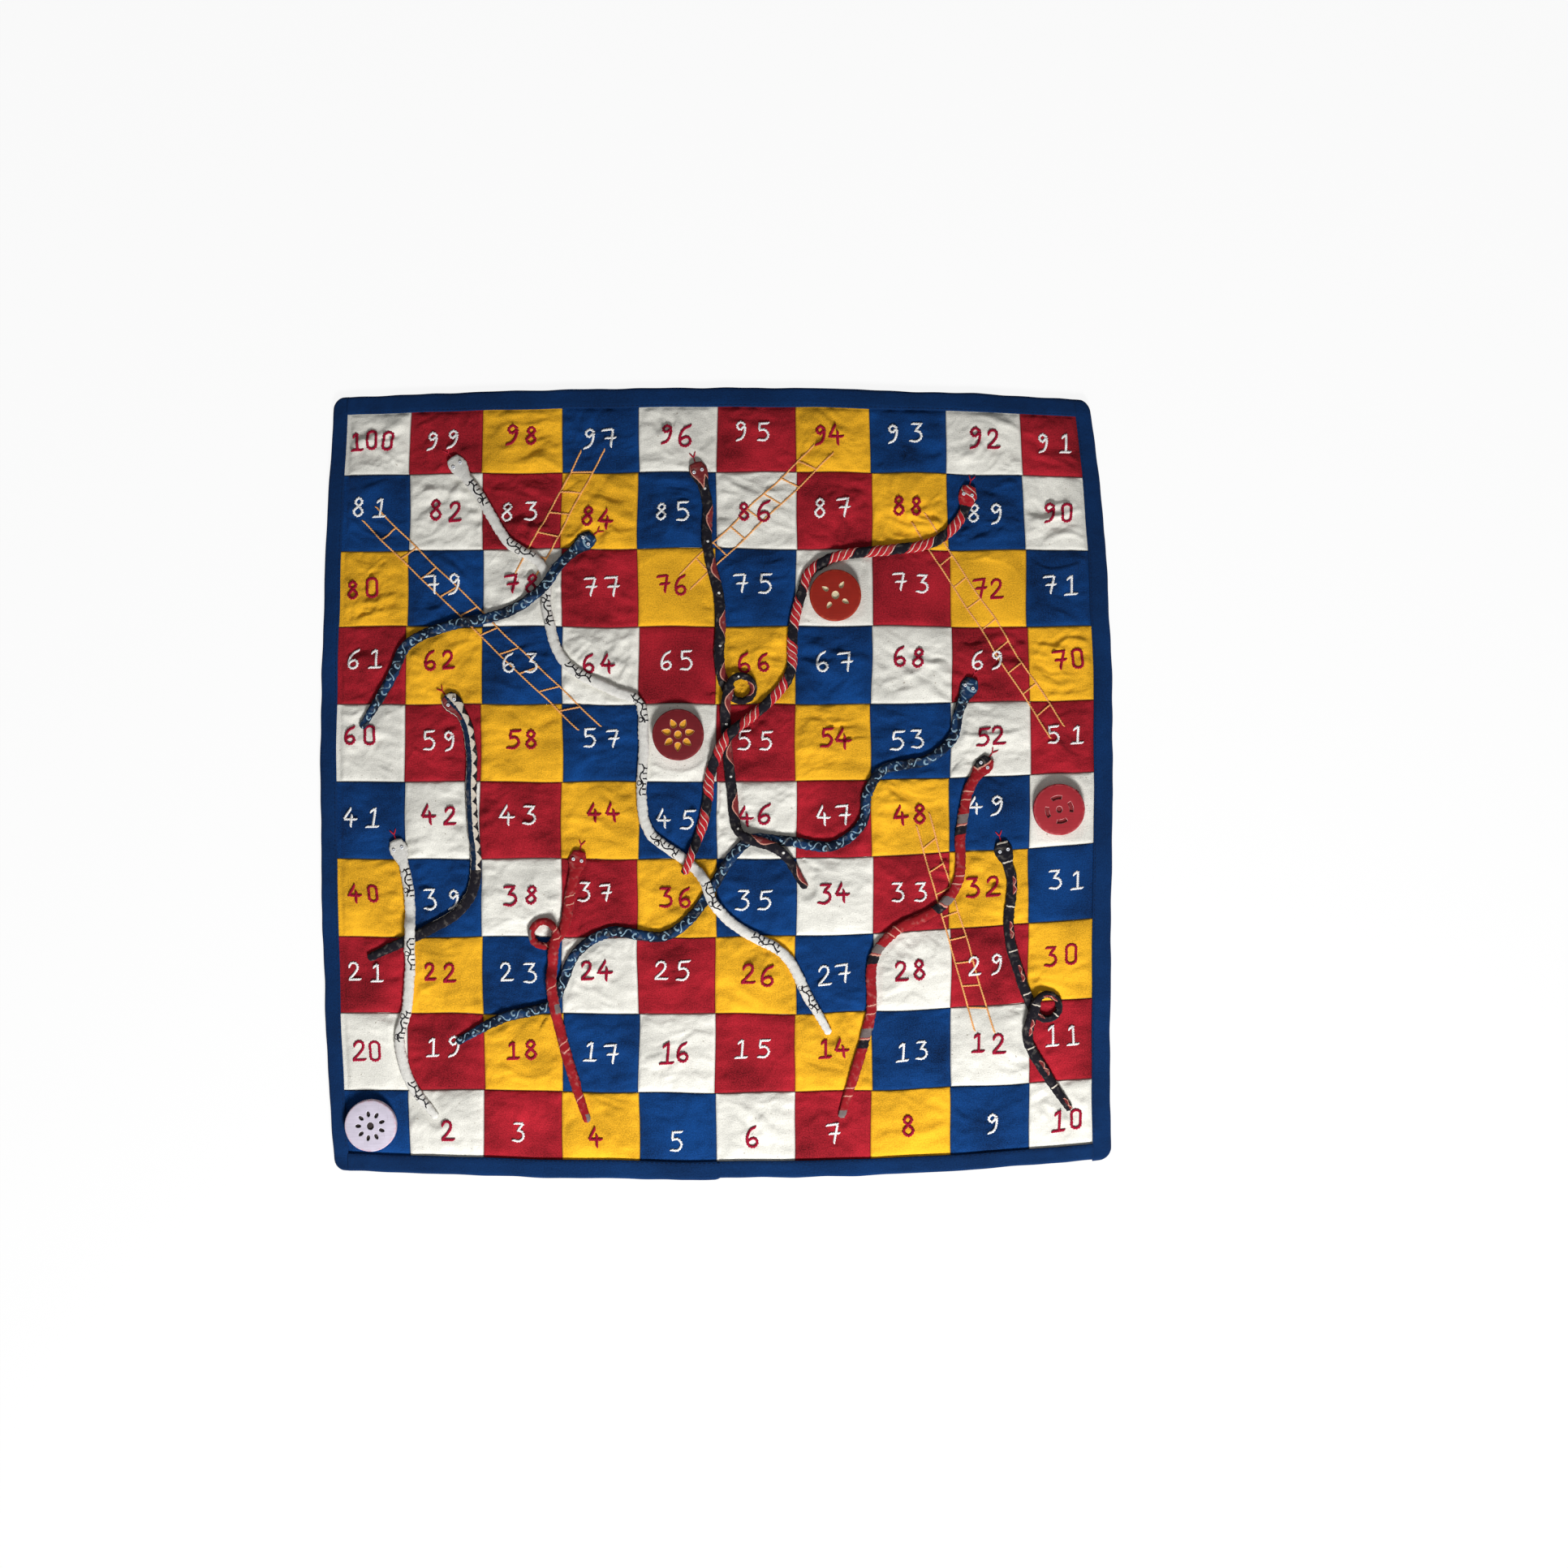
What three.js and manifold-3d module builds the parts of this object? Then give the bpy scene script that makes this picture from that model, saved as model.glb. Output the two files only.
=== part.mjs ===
// A cloth snakes and ladders board, in millimetres, lying flat with its face up.
// Ten strips of sewn squares lie on a lining and a backing, and a folded tape binds their edges.
// Stuffed cloth snakes and stitched ladders are sewn on the face, and four carved counters lie on it.
// The board folds along the seam between its fifth and sixth strips.

import * as THREE from 'three';
import { mergeVertices } from 'three/addons/utils/BufferGeometryUtils.js';
import Module from 'manifold-3d';

const wasm = await Module();
wasm.setup();

// The board in plan
const SQUARE = 50; // pitch of the sewn squares
const PER_SIDE = 10; // squares along a side
const EDGE_SHOWN = 41; // what the binding leaves in view of an outer square
const BINDING = 13; // width of the binding on each face
const CORNER = 8; // radius of the outer corners
const BOW = 9; // how far each side bows out past its corners
const TUCK = 3; // how far the layers stop short of the binding's fold
const SEAM_WIDTH = 1.6; // the valley over a seam between two squares
const SEAM_DEPTH = 0.3;
const SEAM_GAP = 0.3; // between two sewn pieces that lie edge to edge
const FOLD_GAP = 0.6; // between the two halves
const FOLD_CLEARANCE = 0.6; // from the fold's axis to the top of the highest snake

// The layers, from the bottom up
const TAPE = 0.5; // cloth of the binding
const BACKING = 0.5;
const LINING = 1.4;
const PATCH = 0.6; // cloth of the squares
const PLAY = 0.1; // between two layers of cloth

// The snakes
const SNAKE_WIDTH = 8;
const SNAKE_HEIGHT = 3.8;
const SNOUT_WIDTH = 6;
const SNOUT_HEIGHT = 2.7;
const HEAD_WIDTH = 12.5;
const HEAD_LENGTH = 24;
const CHEEK = 9; // from the snout to the widest part of the head
const TAIL_LENGTH = 34;
const TAIL_WIDTH = 3; // at the tip
const TAIL_HEIGHT = 2; // at the tip
const CURL_RADIUS = 8; // of a loop in a snake, at the middle of its body
const CURL_STEPS = 8;
const LEAST_LOOP = 22; // a snake can't lie over its own body that is nearer than this along it
const HUMP_RUN = 9; // length over which a snake climbs on to what it crosses
const STATION = 1.5; // step at which a snake's route is followed
const ROUTE_STEPS = 40; // steps for each point of a route in measuring its length
const RING_STEP = 9; // a snake has a section at least this often,
const RING_TURN = 22; // and where it has turned this many degrees since the last one,
const RING_RISE = 0.8; // or risen this far

// The ladders
const STITCH_WIDTH = 2;
const STITCH_HEIGHT = 0.7;

// The counters
const COUNTER_RADIUS = 16.6;
const COUNTER_HEIGHT = 5;
const COUNTER_EDGE = 0.8; // chamfer round both rims
const COUNTER_GAP = 1.3; // from a counter to the snake that it lies beside
const COUNTER_SIDES = 32;
const WELL_DEPTH = 0.9; // depth of the carving
const WELL_RADIUS = 7.8; // from a counter's middle to the middle of a carved slot
const WELL_STEPS = 6; // steps along half of a carved slot's outline
const TEARDROP_TAPER = 0.5; // how much narrower a teardrop is at its outer end

// What a cut has to overshoot, how near two corners are one, and the steps of curved outlines
const OVERSHOOT = 1;
const CUT_HEIGHT = 100;
const MERGED = 1e-4;
const SIDE_STEPS = 10;
const CORNER_STEPS = 5;

// The layout of the snakes, ladders and counters is drawn for squares of this pitch.
const DRAWN_SQUARE = 50;
const LAYOUT = SQUARE / DRAWN_SQUARE;

// Plan sizes, from the middle of the board
const WINDOW = (PER_SIDE / 2 - 1) * SQUARE + EDGE_SHOWN;
const HALF = WINDOW + BINDING;
const LAYER_HALF = HALF - TAPE - TUCK;

// Heights
const BACKING_FLOOR = TAPE + PLAY;
const LINING_FLOOR = BACKING_FLOOR + BACKING + PLAY;
const PATCH_FLOOR = LINING_FLOOR + LINING + PLAY;
const FACE = PATCH_FLOOR + PATCH;
const EDGE_TOP = FACE + PLAY + TAPE;
const SEWN_FLOOR = FACE + PLAY;
const COUNTER_FLOOR = SEWN_FLOOR + STITCH_HEIGHT + PLAY;

// Cloth and paint
const OFF_WHITE = 0xdedad0;
const CRIMSON = 0x96232d;
const YELLOW = 0xe1a519;
const BLUE = 0x144178;
const NAVY = 0x143769;
const BLACK = 0x1c1a22;
const ORANGE_THREAD = 0xe39a4c;

function cloth(color) {
  return new THREE.MeshStandardMaterial({ color, roughness: 0.9, metalness: 0 });
}

function paint(color) {
  return new THREE.MeshStandardMaterial({ color, roughness: 0.55, metalness: 0 });
}

// The cloth draws in towards its corners, so that every side bows.
function drape(x, y) {
  const pull = (BOW / HALF) * ((x * y) / (HALF * HALF)) ** 2;
  return [x * (1 - pull), y * (1 - pull)];
}

// Booleans work on closed meshes that hold nothing but positions.
function solid(geometry) {
  const bare = new THREE.BufferGeometry();
  bare.setAttribute('position', geometry.getAttribute('position').clone());
  if (geometry.index) {
    bare.setIndex(geometry.index.clone());
  }
  const merged = mergeVertices(bare, MERGED);
  return new wasm.Manifold(new wasm.Mesh({
    numProp: 3,
    vertProperties: Float32Array.from(merged.getAttribute('position').array),
    triVerts: Uint32Array.from(merged.index.array),
  }));
}

function geometryOf(manifold) {
  const mesh = manifold.getMesh();
  const geometry = new THREE.BufferGeometry();
  geometry.setAttribute('position', new THREE.BufferAttribute(Float32Array.from(mesh.vertProperties), 3));
  geometry.setIndex(Array.from(mesh.triVerts));
  geometry.computeVertexNormals();
  return geometry;
}

function piece(name, geometry, material) {
  const mesh = new THREE.Mesh(geometry, material);
  mesh.name = name;
  return mesh;
}

// An upright prism over a plan outline.
function prism(points, floor, top) {
  const shape = new THREE.Shape(points.map(([x, y]) => new THREE.Vector2(x, y)));
  const geometry = new THREE.ExtrudeGeometry(shape, { depth: top - floor, bevelEnabled: false });
  return geometry.translate(0, 0, floor);
}

// A box that reaches above and below everything, for cutting.
function block(x0, x1, y0, y1) {
  const geometry = new THREE.BoxGeometry(x1 - x0, y1 - y0, 2 * CUT_HEIGHT);
  return geometry.translate((x0 + x1) / 2, (y0 + y1) / 2, 0);
}

// The board's outline, set in from its edge, with round corners where a radius is given.
function bowedSquare(inset, radius) {
  const half = HALF - inset;
  const run = half - radius;
  const points = [];
  for (let side = 0; side < 4; side++) {
    const turn = (side * Math.PI) / 2;
    const place = (x, y) => points.push(drape(
      x * Math.cos(turn) - y * Math.sin(turn),
      x * Math.sin(turn) + y * Math.cos(turn),
    ));
    for (let i = 0; i < SIDE_STEPS; i++) {
      place(-run + (2 * run * i) / SIDE_STEPS, -half);
    }
    if (radius > 0) {
      for (let i = 0; i < CORNER_STEPS; i++) {
        const angle = ((i / CORNER_STEPS - 1) * Math.PI) / 2;
        place(run + radius * Math.cos(angle), -run + radius * Math.sin(angle));
      }
    }
  }
  return points;
}

// Half a layer, from the fold to the edge: side is 1 for the upper half and -1 for the lower one.
function halfLayer(side, floor, top) {
  const points = [];
  for (let i = 0; i <= SIDE_STEPS; i++) {
    points.push([-LAYER_HALF + (2 * LAYER_HALF * i) / SIDE_STEPS, FOLD_GAP / 2]);
  }
  for (let i = SIDE_STEPS; i >= 0; i--) {
    points.push([-LAYER_HALF + (2 * LAYER_HALF * i) / SIDE_STEPS, LAYER_HALF]);
  }
  return prism(points.map(([x, y]) => drape(x, side * y)), floor, top);
}

// A strip of squares between two cross lines, with a valley over each seam along it.
function strip(low, high) {
  const top = [[-LAYER_HALF, FACE]];
  for (let column = 1; column < PER_SIDE; column++) {
    const seam = (column - PER_SIDE / 2) * SQUARE;
    top.push([seam - SEAM_WIDTH / 2, FACE], [seam, FACE - SEAM_DEPTH], [seam + SEAM_WIDTH / 2, FACE]);
  }
  top.push([LAYER_HALF, FACE]);
  const bottom = top.map(([x]) => [x, PATCH_FLOOR]).reverse();
  const section = new THREE.Shape([...top, ...bottom].map(([x, z]) => new THREE.Vector2(x, z)));
  const geometry = new THREE.ExtrudeGeometry(section, { depth: high - low, bevelEnabled: false });
  geometry.rotateX(Math.PI / 2).translate(0, high, 0);
  const position = geometry.getAttribute('position');
  for (let i = 0; i < position.count; i++) {
    const [x, y] = drape(position.getX(i), position.getY(i));
    position.setXY(i, x, y);
  }
  geometry.computeVertexNormals();
  return geometry;
}

// The cross lines of a strip, counted from the bottom, with the gaps at its seams taken off.
function stripLines(row) {
  const line = (i) => {
    const inside = (i - PER_SIDE / 2) * SQUARE;
    return i === 0 || i === PER_SIDE ? Math.sign(inside) * LAYER_HALF : inside;
  };
  const gap = (i) => {
    if (i === 0 || i === PER_SIDE) {
      return 0;
    }
    return (i === PER_SIDE / 2 ? FOLD_GAP : SEAM_GAP) / 2;
  };
  return [line(row) + gap(row), line(row + 1) - gap(row + 1)];
}

// The folded tape goes round the layers' edges, and is cut where its lengths meet.
function bindingPieces() {
  const ring = solid(prism(bowedSquare(0, CORNER), 0, EDGE_TOP))
    .subtract(solid(prism(bowedSquare(TAPE, CORNER - TAPE), TAPE, FACE + PLAY)))
    .subtract(solid(prism(bowedSquare(BINDING, 0), -OVERSHOOT, EDGE_TOP + OVERSHOOT)));
  const far = HALF + OVERSHOOT;
  const meet = drape(WINDOW, WINDOW)[0];
  const near = meet - SEAM_GAP / 2;
  const side = meet + SEAM_GAP / 2;
  const fold = FOLD_GAP / 2;
  const cuts = {
    binding_bottom: block(-near, near, -far, 0),
    binding_left_lower: block(-far, -side, -far, -fold),
    binding_right_lower: block(side, far, -far, -fold),
    binding_top: block(-near, near, 0, far),
    binding_left_upper: block(-far, -side, fold, far),
    binding_right_upper: block(side, far, fold, far),
  };
  return Object.entries(cuts).map(([name, cut]) => (
    piece(name, geometryOf(ring.intersect(solid(cut))), cloth(NAVY))
  ));
}

// Ladders: the two rails from the upper square to the lower one, and the number of rungs.
const LADDERS = [
  { name: 'ladder_78_97', rungs: 5, rails: [[[-87, 213], [-130, 134]], [[-72, 214], [-118, 130]]] },
  { name: 'ladder_57_81', rungs: 10, rails: [[[-229, 168], [-89, 33]], [[-220, 177], [-75, 35]]] },
  { name: 'ladder_76_94', rungs: 7, rails: [[[63, 217], [-24, 133]], [[76, 212], [-17, 124]]] },
  { name: 'ladder_51_88', rungs: 9, rails: [[[126, 167], [215, 28]], [[134, 173], [224, 36]]] },
  { name: 'ladder_12_48', rungs: 8, rails: [[[129, -29], [166, -161]], [[137, -21], [179, -162]]] },
];

function between([x0, y0], [x1, y1], share) {
  return [x0 + (x1 - x0) * share, y0 + (y1 - y0) * share];
}

// The rails and rungs of a ladder as pairs of end points.
function ladderBars({ rungs, rails }) {
  const [left, right] = rails.map((rail) => rail.map(([x, y]) => [x * LAYOUT, y * LAYOUT]));
  const bars = [left, right];
  for (let i = 0; i < rungs; i++) {
    const share = (i + 1) / (rungs + 1);
    bars.push([between(...left, share), between(...right, share)]);
  }
  return bars;
}

function stitchedBar([[x0, y0], [x1, y1]]) {
  const length = Math.hypot(x1 - x0, y1 - y0);
  const geometry = new THREE.BoxGeometry(length, STITCH_WIDTH, STITCH_HEIGHT);
  geometry.rotateZ(Math.atan2(y1 - y0, x1 - x0));
  return geometry.translate((x0 + x1) / 2, (y0 + y1) / 2, SEWN_FLOOR + STITCH_HEIGHT / 2);
}

function ladder(entry) {
  const [first, ...rest] = ladderBars(entry).map((bar) => solid(stitchedBar(bar)));
  const joined = rest.reduce((sum, bar) => sum.add(bar), first);
  return piece(entry.name, geometryOf(joined), cloth(ORANGE_THREAD));
}

// One turn of a snake round a loop, as points from a start angle in degrees.
function curl(x, y, start, turn) {
  const points = [];
  for (let i = 0; i <= CURL_STEPS; i++) {
    const angle = THREE.MathUtils.degToRad(start + (turn * i) / CURL_STEPS);
    points.push([x + CURL_RADIUS * Math.cos(angle), y + CURL_RADIUS * Math.sin(angle)]);
  }
  return points;
}

// Snakes from snout to tail, in the order in which they were sewn on: a later one passes over.
const SNAKES = [
  {
    name: 'snake_indigo_long',
    color: 0x1d4263,
    route: [
      [165, 67], [156, 45], [152, 28], [135, 14], [107, 7], [97, -8], [94, -26], [76, -41], [42, -38],
      [24, -37], [12, -46], [-9, -78], [-22, -93], [-36, -100], [-69, -97], [-90, -110], [-99, -129],
      [-106, -143], [-137, -152], [-168, -168],
    ],
  },
  {
    name: 'snake_zigzag',
    color: BLACK,
    route: [
      [-175, 56], [-163, 41], [-158, 20], [-158, -15], [-155, -51], [-157, -70], [-168, -85],
      [-191, -98], [-225, -114],
    ],
  },
  {
    name: 'snake_white_long',
    color: OFF_WHITE,
    route: [
      [-171, 209], [-150, 180], [-135, 155], [-112, 138], [-109, 107], [-97, 76], [-67, 59], [-50, 51],
      [-47, 29], [-48, -15], [-43, -33], [-20, -51], [-8, -63], [-2, -78], [12, -93], [44, -112],
      [58, -137], [73, -163],
    ],
  },
  {
    name: 'snake_barred',
    color: BLACK,
    route: [
      [-14, 206], [-6, 180], [-6, 152], [2, 115], [2, 76], [4.5, 64], ...curl(16, 60, -130, 310),
      [6, 48], [6, 32], [10, -6], [15, -33], [40, -44], [58, -69],
    ],
  },
  {
    name: 'snake_indigo_short',
    color: 0x1d4263,
    route: [
      [-79, 159], [-98, 143], [-114, 122], [-138, 108], [-173, 100], [-199, 88], [-211, 64], [-229, 34],
    ],
  },
  {
    name: 'snake_striped',
    color: 0xa82a35,
    route: [
      [163, 191], [157, 169], [139, 154], [110, 149], [82, 146], [61, 136], [54, 119], [49, 96],
      [47, 69], [29, 47], [8, 30], [-3, 8], [-8, -24], [-21, -60],
    ],
  },
  {
    name: 'snake_white_short',
    color: OFF_WHITE,
    route: [
      [-207, -37], [-199, -64], [-197, -107], [-199, -143], [-204, -168], [-197, -194], [-180, -217],
    ],
  },
  {
    name: 'snake_red',
    color: 0xa5282b,
    route: [
      [-88, -44], [-94, -71], [-98, -93], ...curl(-111, -98, -50, -310), [-105, -111], [-106, -129],
      [-100, -163], [-83, -220],
    ],
  },
  {
    name: 'snake_red_banded',
    color: 0xa5282b,
    route: [
      [176, 16], [163, -4], [157, -35], [156, -62], [145, -80], [114, -97], [101, -114], [99, -150],
      [80, -217],
    ],
  },
  {
    name: 'snake_black',
    color: BLACK,
    route: [
      [183, -38], [190, -65], [188, -96], [196, -127], [201, -140], ...curl(212.5, -145, -130, 310),
      [201, -157], [201, -168], [212, -188], [228, -212],
    ],
  },
];

// The section of a stuffed tube that lies on its flat side, as shares of its width and height.
const SNAKE_SECTION = [
  [0.4, 0], [0.5, 0.35], [0.33, 0.85], [0, 1], [-0.33, 0.85], [-0.5, 0.35], [-0.4, 0],
];

// A value that runs straight between pairs of a distance and a value.
function graded(pairs, distance) {
  const last = pairs.findIndex(([at]) => at >= distance);
  if (last <= 0) {
    return last === 0 ? pairs[0][1] : pairs[pairs.length - 1][1];
  }
  const [at0, value0] = pairs[last - 1];
  const [at1, value1] = pairs[last];
  return THREE.MathUtils.lerp(value0, value1, (distance - at0) / (at1 - at0));
}

// A snake's width and height at stations along its route, lying flat on the face.
function snakeStations(route) {
  const curve = new THREE.CatmullRomCurve3(
    route.map(([x, y]) => new THREE.Vector3(x * LAYOUT, y * LAYOUT, 0)),
    false,
    'centripetal',
  );
  curve.arcLengthDivisions = ROUTE_STEPS * route.length;
  const length = curve.getLength();
  const count = Math.ceil(length / STATION);
  const widths = [
    [0, SNOUT_WIDTH], [CHEEK, HEAD_WIDTH], [HEAD_LENGTH, SNAKE_WIDTH],
    [length - TAIL_LENGTH, SNAKE_WIDTH], [length, TAIL_WIDTH],
  ];
  const heights = [
    [0, SNOUT_HEIGHT], [CHEEK, SNAKE_HEIGHT], [length - TAIL_LENGTH, SNAKE_HEIGHT],
    [length, TAIL_HEIGHT],
  ];
  const stations = [];
  for (let i = 0; i <= count; i++) {
    const along = (length * i) / count;
    stations.push({
      along,
      at: curve.getPointAt(i / count),
      heading: curve.getTangentAt(i / count),
      width: graded(widths, along),
      height: graded(heights, along),
      lift: 0,
    });
  }
  return stations;
}

// Raises a snake over what was sewn on before it, and over its own loop.
function layOver(stations, sewn) {
  const spots = sewn.slice();
  for (const station of stations) {
    const under = spots.filter((spot) => {
      const beside = (station.width + spot.width) / 2 + SEAM_GAP;
      const joined = spot.stations === stations && station.along - spot.along < LEAST_LOOP;
      return !joined && station.at.distanceTo(spot.at) < beside;
    });
    station.need = under.reduce((most, spot) => Math.max(most, spot.top + PLAY), 0);
    spots.push({ ...station, stations, top: station.need + station.height });
  }
  for (const station of stations) {
    for (const other of stations) {
      const away = Math.min(Math.abs(station.along - other.along) / HUMP_RUN, 1);
      station.lift = Math.max(station.lift, other.need * Math.cos((away * Math.PI) / 2) ** 2);
    }
  }
  for (const { at, width, height, lift } of stations) {
    sewn.push({ at, width, top: lift + height });
  }
}

// The stations that a snake's form needs a section at. Each edge of what it lies over is one of them.
function chooseRings(stations) {
  const rings = [stations[0]];
  for (let i = 1; i < stations.length - 1; i++) {
    const station = stations[i];
    const last = rings[rings.length - 1];
    const turned = THREE.MathUtils.radToDeg(last.heading.angleTo(station.heading)) > RING_TURN;
    const risen = Math.abs(last.lift - station.lift) > RING_RISE;
    const edge = [stations[i - 1], stations[i + 1]].some(({ need }) => Math.abs(need - station.need) > PLAY);
    if (turned || risen || edge || station.along - last.along > RING_STEP) {
      rings.push(station);
    }
  }
  rings.push(stations[stations.length - 1]);
  return rings;
}

// Spots along a ladder's bars, which the snakes have to pass over.
function ladderSpots(entry) {
  const spots = [];
  for (const [start, end] of ladderBars(entry)) {
    const count = Math.ceil(Math.hypot(end[0] - start[0], end[1] - start[1]) / STITCH_WIDTH);
    for (let i = 0; i <= count; i++) {
      const [x, y] = between(start, end, i / count);
      spots.push({ at: new THREE.Vector3(x, y, 0), width: STITCH_WIDTH, top: STITCH_HEIGHT });
    }
  }
  return spots;
}

// A closed tube through a snake's sections, with flat ends.
function snakeGeometry(rings) {
  const positions = [];
  for (const { at, heading, width, height, lift } of rings) {
    for (const [across, up] of SNAKE_SECTION) {
      positions.push(
        at.x - heading.y * across * width,
        at.y + heading.x * across * width,
        SEWN_FLOOR + lift + up * height,
      );
    }
  }
  const sides = SNAKE_SECTION.length;
  const index = [];
  for (let i = 0; i < rings.length - 1; i++) {
    for (let k = 0; k < sides; k++) {
      const a = i * sides + k;
      const b = i * sides + ((k + 1) % sides);
      index.push(a, b, b + sides, a, b + sides, a + sides);
    }
  }
  const end = (rings.length - 1) * sides;
  for (let k = 1; k < sides - 1; k++) {
    index.push(0, k + 1, k);
    index.push(end, end + k, end + k + 1);
  }
  const geometry = new THREE.BufferGeometry();
  geometry.setAttribute('position', new THREE.Float32BufferAttribute(positions, 3));
  geometry.setIndex(index);
  geometry.computeVertexNormals();
  return geometry;
}

// A snake as the pieces that lie on the lower half and on the upper one.
function snakePieces({ name, color }, rings) {
  const whole = solid(snakeGeometry(rings));
  const far = 2 * HALF;
  const lower = whole.intersect(solid(block(-far, far, -far, -FOLD_GAP / 2)));
  const upper = whole.intersect(solid(block(-far, far, FOLD_GAP / 2, far)));
  const crosses = !lower.isEmpty() && !upper.isEmpty();
  const make = (half, suffix) => (
    half.isEmpty() ? [] : [piece(crosses ? name + suffix : name, geometryOf(half), cloth(color))]
  );
  return { lower: make(lower, '_lower'), upper: make(upper, '_upper') };
}

// Outlines of carved slots, about the middle of a counter
function teardrop(length, width) {
  const points = [];
  for (let i = 0; i < 2 * WELL_STEPS; i++) {
    const angle = (i * Math.PI) / WELL_STEPS;
    const along = (Math.cos(angle) * length) / 2;
    const taper = 1 - (2 * TEARDROP_TAPER * along) / length;
    points.push([WELL_RADIUS + along, (Math.sin(angle) * width * taper) / 2]);
  }
  return points;
}

function crescent(length, width) {
  const arc = (radius) => {
    const points = [];
    for (let i = 0; i <= WELL_STEPS; i++) {
      const angle = (i / WELL_STEPS - 0.5) * (length / WELL_RADIUS);
      points.push([radius * Math.cos(angle), radius * Math.sin(angle)]);
    }
    return points;
  };
  return [...arc(WELL_RADIUS + width / 2), ...arc(WELL_RADIUS - width / 2).reverse()];
}

// A counter that lies close to a snake keeps this distance from the middle of the snake's body.
const BESIDE_SNAKE = SNAKE_WIDTH / 2 + COUNTER_GAP + COUNTER_RADIUS;

// Where a counter lies along one axis: where it is drawn, or else as near as the snake beside it lets it.
function clearOf(snake, drawn) {
  if (drawn > snake) {
    return Math.max(drawn * LAYOUT, snake * LAYOUT + BESIDE_SNAKE);
  }
  return Math.min(drawn * LAYOUT, snake * LAYOUT - BESIDE_SNAKE);
}

const COUNTERS = [
  {
    name: 'counter_pale',
    color: 0xd6cfe0,
    at: [-222 * LAYOUT, -221 * LAYOUT],
    slots: 9,
    turn: 20,
    slot: teardrop(3.7, 2.2),
    eye: 2.2,
  },
  {
    name: 'counter_orange',
    color: 0xb8402a,
    at: [clearOf(54, 76.4), clearOf(142, 119.6)],
    slots: 4,
    turn: -32,
    slot: teardrop(4.2, 2.2),
    eye: 2.2,
  },
  {
    name: 'counter_maroon',
    color: 0x7c2229,
    at: [clearOf(-47, -24.6), 30 * LAYOUT],
    slots: 7,
    turn: 12,
    slot: teardrop(5.6, 3.5),
    eye: 2.2,
  },
  {
    name: 'counter_rose',
    color: 0xb64a4c,
    at: [220 * LAYOUT, -18 * LAYOUT],
    slots: 4,
    turn: 13,
    slot: crescent(6.4, 2.4),
    eye: 1.9,
  },
];

// A carved disc about its own middle, with its underside at zero. Its first slot is turned from +X.
function counter({ name, color, at, slots, turn, slot, eye }) {
  const profile = [
    [0, 0], [COUNTER_RADIUS - COUNTER_EDGE, 0], [COUNTER_RADIUS, COUNTER_EDGE],
    [COUNTER_RADIUS, COUNTER_HEIGHT - COUNTER_EDGE], [COUNTER_RADIUS - COUNTER_EDGE, COUNTER_HEIGHT],
    [0, COUNTER_HEIGHT],
  ].map(([r, z]) => new THREE.Vector2(r, z));
  const disc = solid(new THREE.LatheGeometry(profile, COUNTER_SIDES).rotateX(Math.PI / 2));
  const floor = COUNTER_HEIGHT - WELL_DEPTH;
  const top = COUNTER_HEIGHT + OVERSHOOT;
  const middle = new THREE.CylinderGeometry(eye, eye, top - floor, 2 * WELL_STEPS).rotateX(Math.PI / 2);
  let carved = disc.subtract(solid(middle.translate(0, 0, (floor + top) / 2)));
  for (let i = 0; i < slots; i++) {
    const angle = THREE.MathUtils.degToRad(turn + (i * 360) / slots);
    carved = carved.subtract(solid(prism(slot, floor, top).rotateZ(angle)));
  }
  const mesh = piece(name, geometryOf(carved), paint(color));
  mesh.position.set(at[0], at[1], COUNTER_FLOOR);
  return mesh;
}

// Everything on the lower half, and on the upper half
const lowerHalf = new THREE.Group();
const upperHalf = new THREE.Group();

const LAYERS = [
  { name: 'backing', floor: BACKING_FLOOR, top: BACKING_FLOOR + BACKING, color: NAVY },
  { name: 'lining', floor: LINING_FLOOR, top: LINING_FLOOR + LINING, color: OFF_WHITE },
];
for (const { name, floor, top, color } of LAYERS) {
  lowerHalf.add(piece(`${name}_lower`, halfLayer(-1, floor, top), cloth(color)));
  upperHalf.add(piece(`${name}_upper`, halfLayer(1, floor, top), cloth(color)));
}

const STRIP_COLORS = [OFF_WHITE, CRIMSON, YELLOW, BLUE];
for (let row = 0; row < PER_SIDE; row++) {
  const half = row < PER_SIDE / 2 ? lowerHalf : upperHalf;
  const name = `squares_row_${String(row + 1).padStart(2, '0')}`;
  half.add(piece(name, strip(...stripLines(row)), cloth(STRIP_COLORS[row % STRIP_COLORS.length])));
}

for (const mesh of bindingPieces()) {
  const onUpper = mesh.name.endsWith('upper') || mesh.name.endsWith('top');
  (onUpper ? upperHalf : lowerHalf).add(mesh);
}

const sewn = [];
for (const entry of LADDERS) {
  const onUpper = entry.rails[0][0][1] > 0;
  (onUpper ? upperHalf : lowerHalf).add(ladder(entry));
  sewn.push(...ladderSpots(entry));
}

for (const entry of SNAKES) {
  const stations = snakeStations(entry.route);
  layOver(stations, sewn);
  const { lower, upper } = snakePieces(entry, chooseRings(stations));
  lower.forEach((mesh) => lowerHalf.add(mesh));
  upper.forEach((mesh) => upperHalf.add(mesh));
}

for (const entry of COUNTERS) {
  const onUpper = entry.at[1] > 0;
  (onUpper ? upperHalf : lowerHalf).add(counter(entry));
}

// The upper half turns about a line above the face, so that the snakes of both halves fit between them.
const tallest = sewn.reduce((most, { top }) => Math.max(most, top), 0);
const foldPivot = new THREE.Group();
foldPivot.position.z = SEWN_FLOOR + tallest + FOLD_CLEARANCE;
upperHalf.position.z = -foldPivot.position.z;
foldPivot.add(upperHalf);

const board = new THREE.Group();
board.add(lowerHalf, foldPivot);

export default board;
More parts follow.
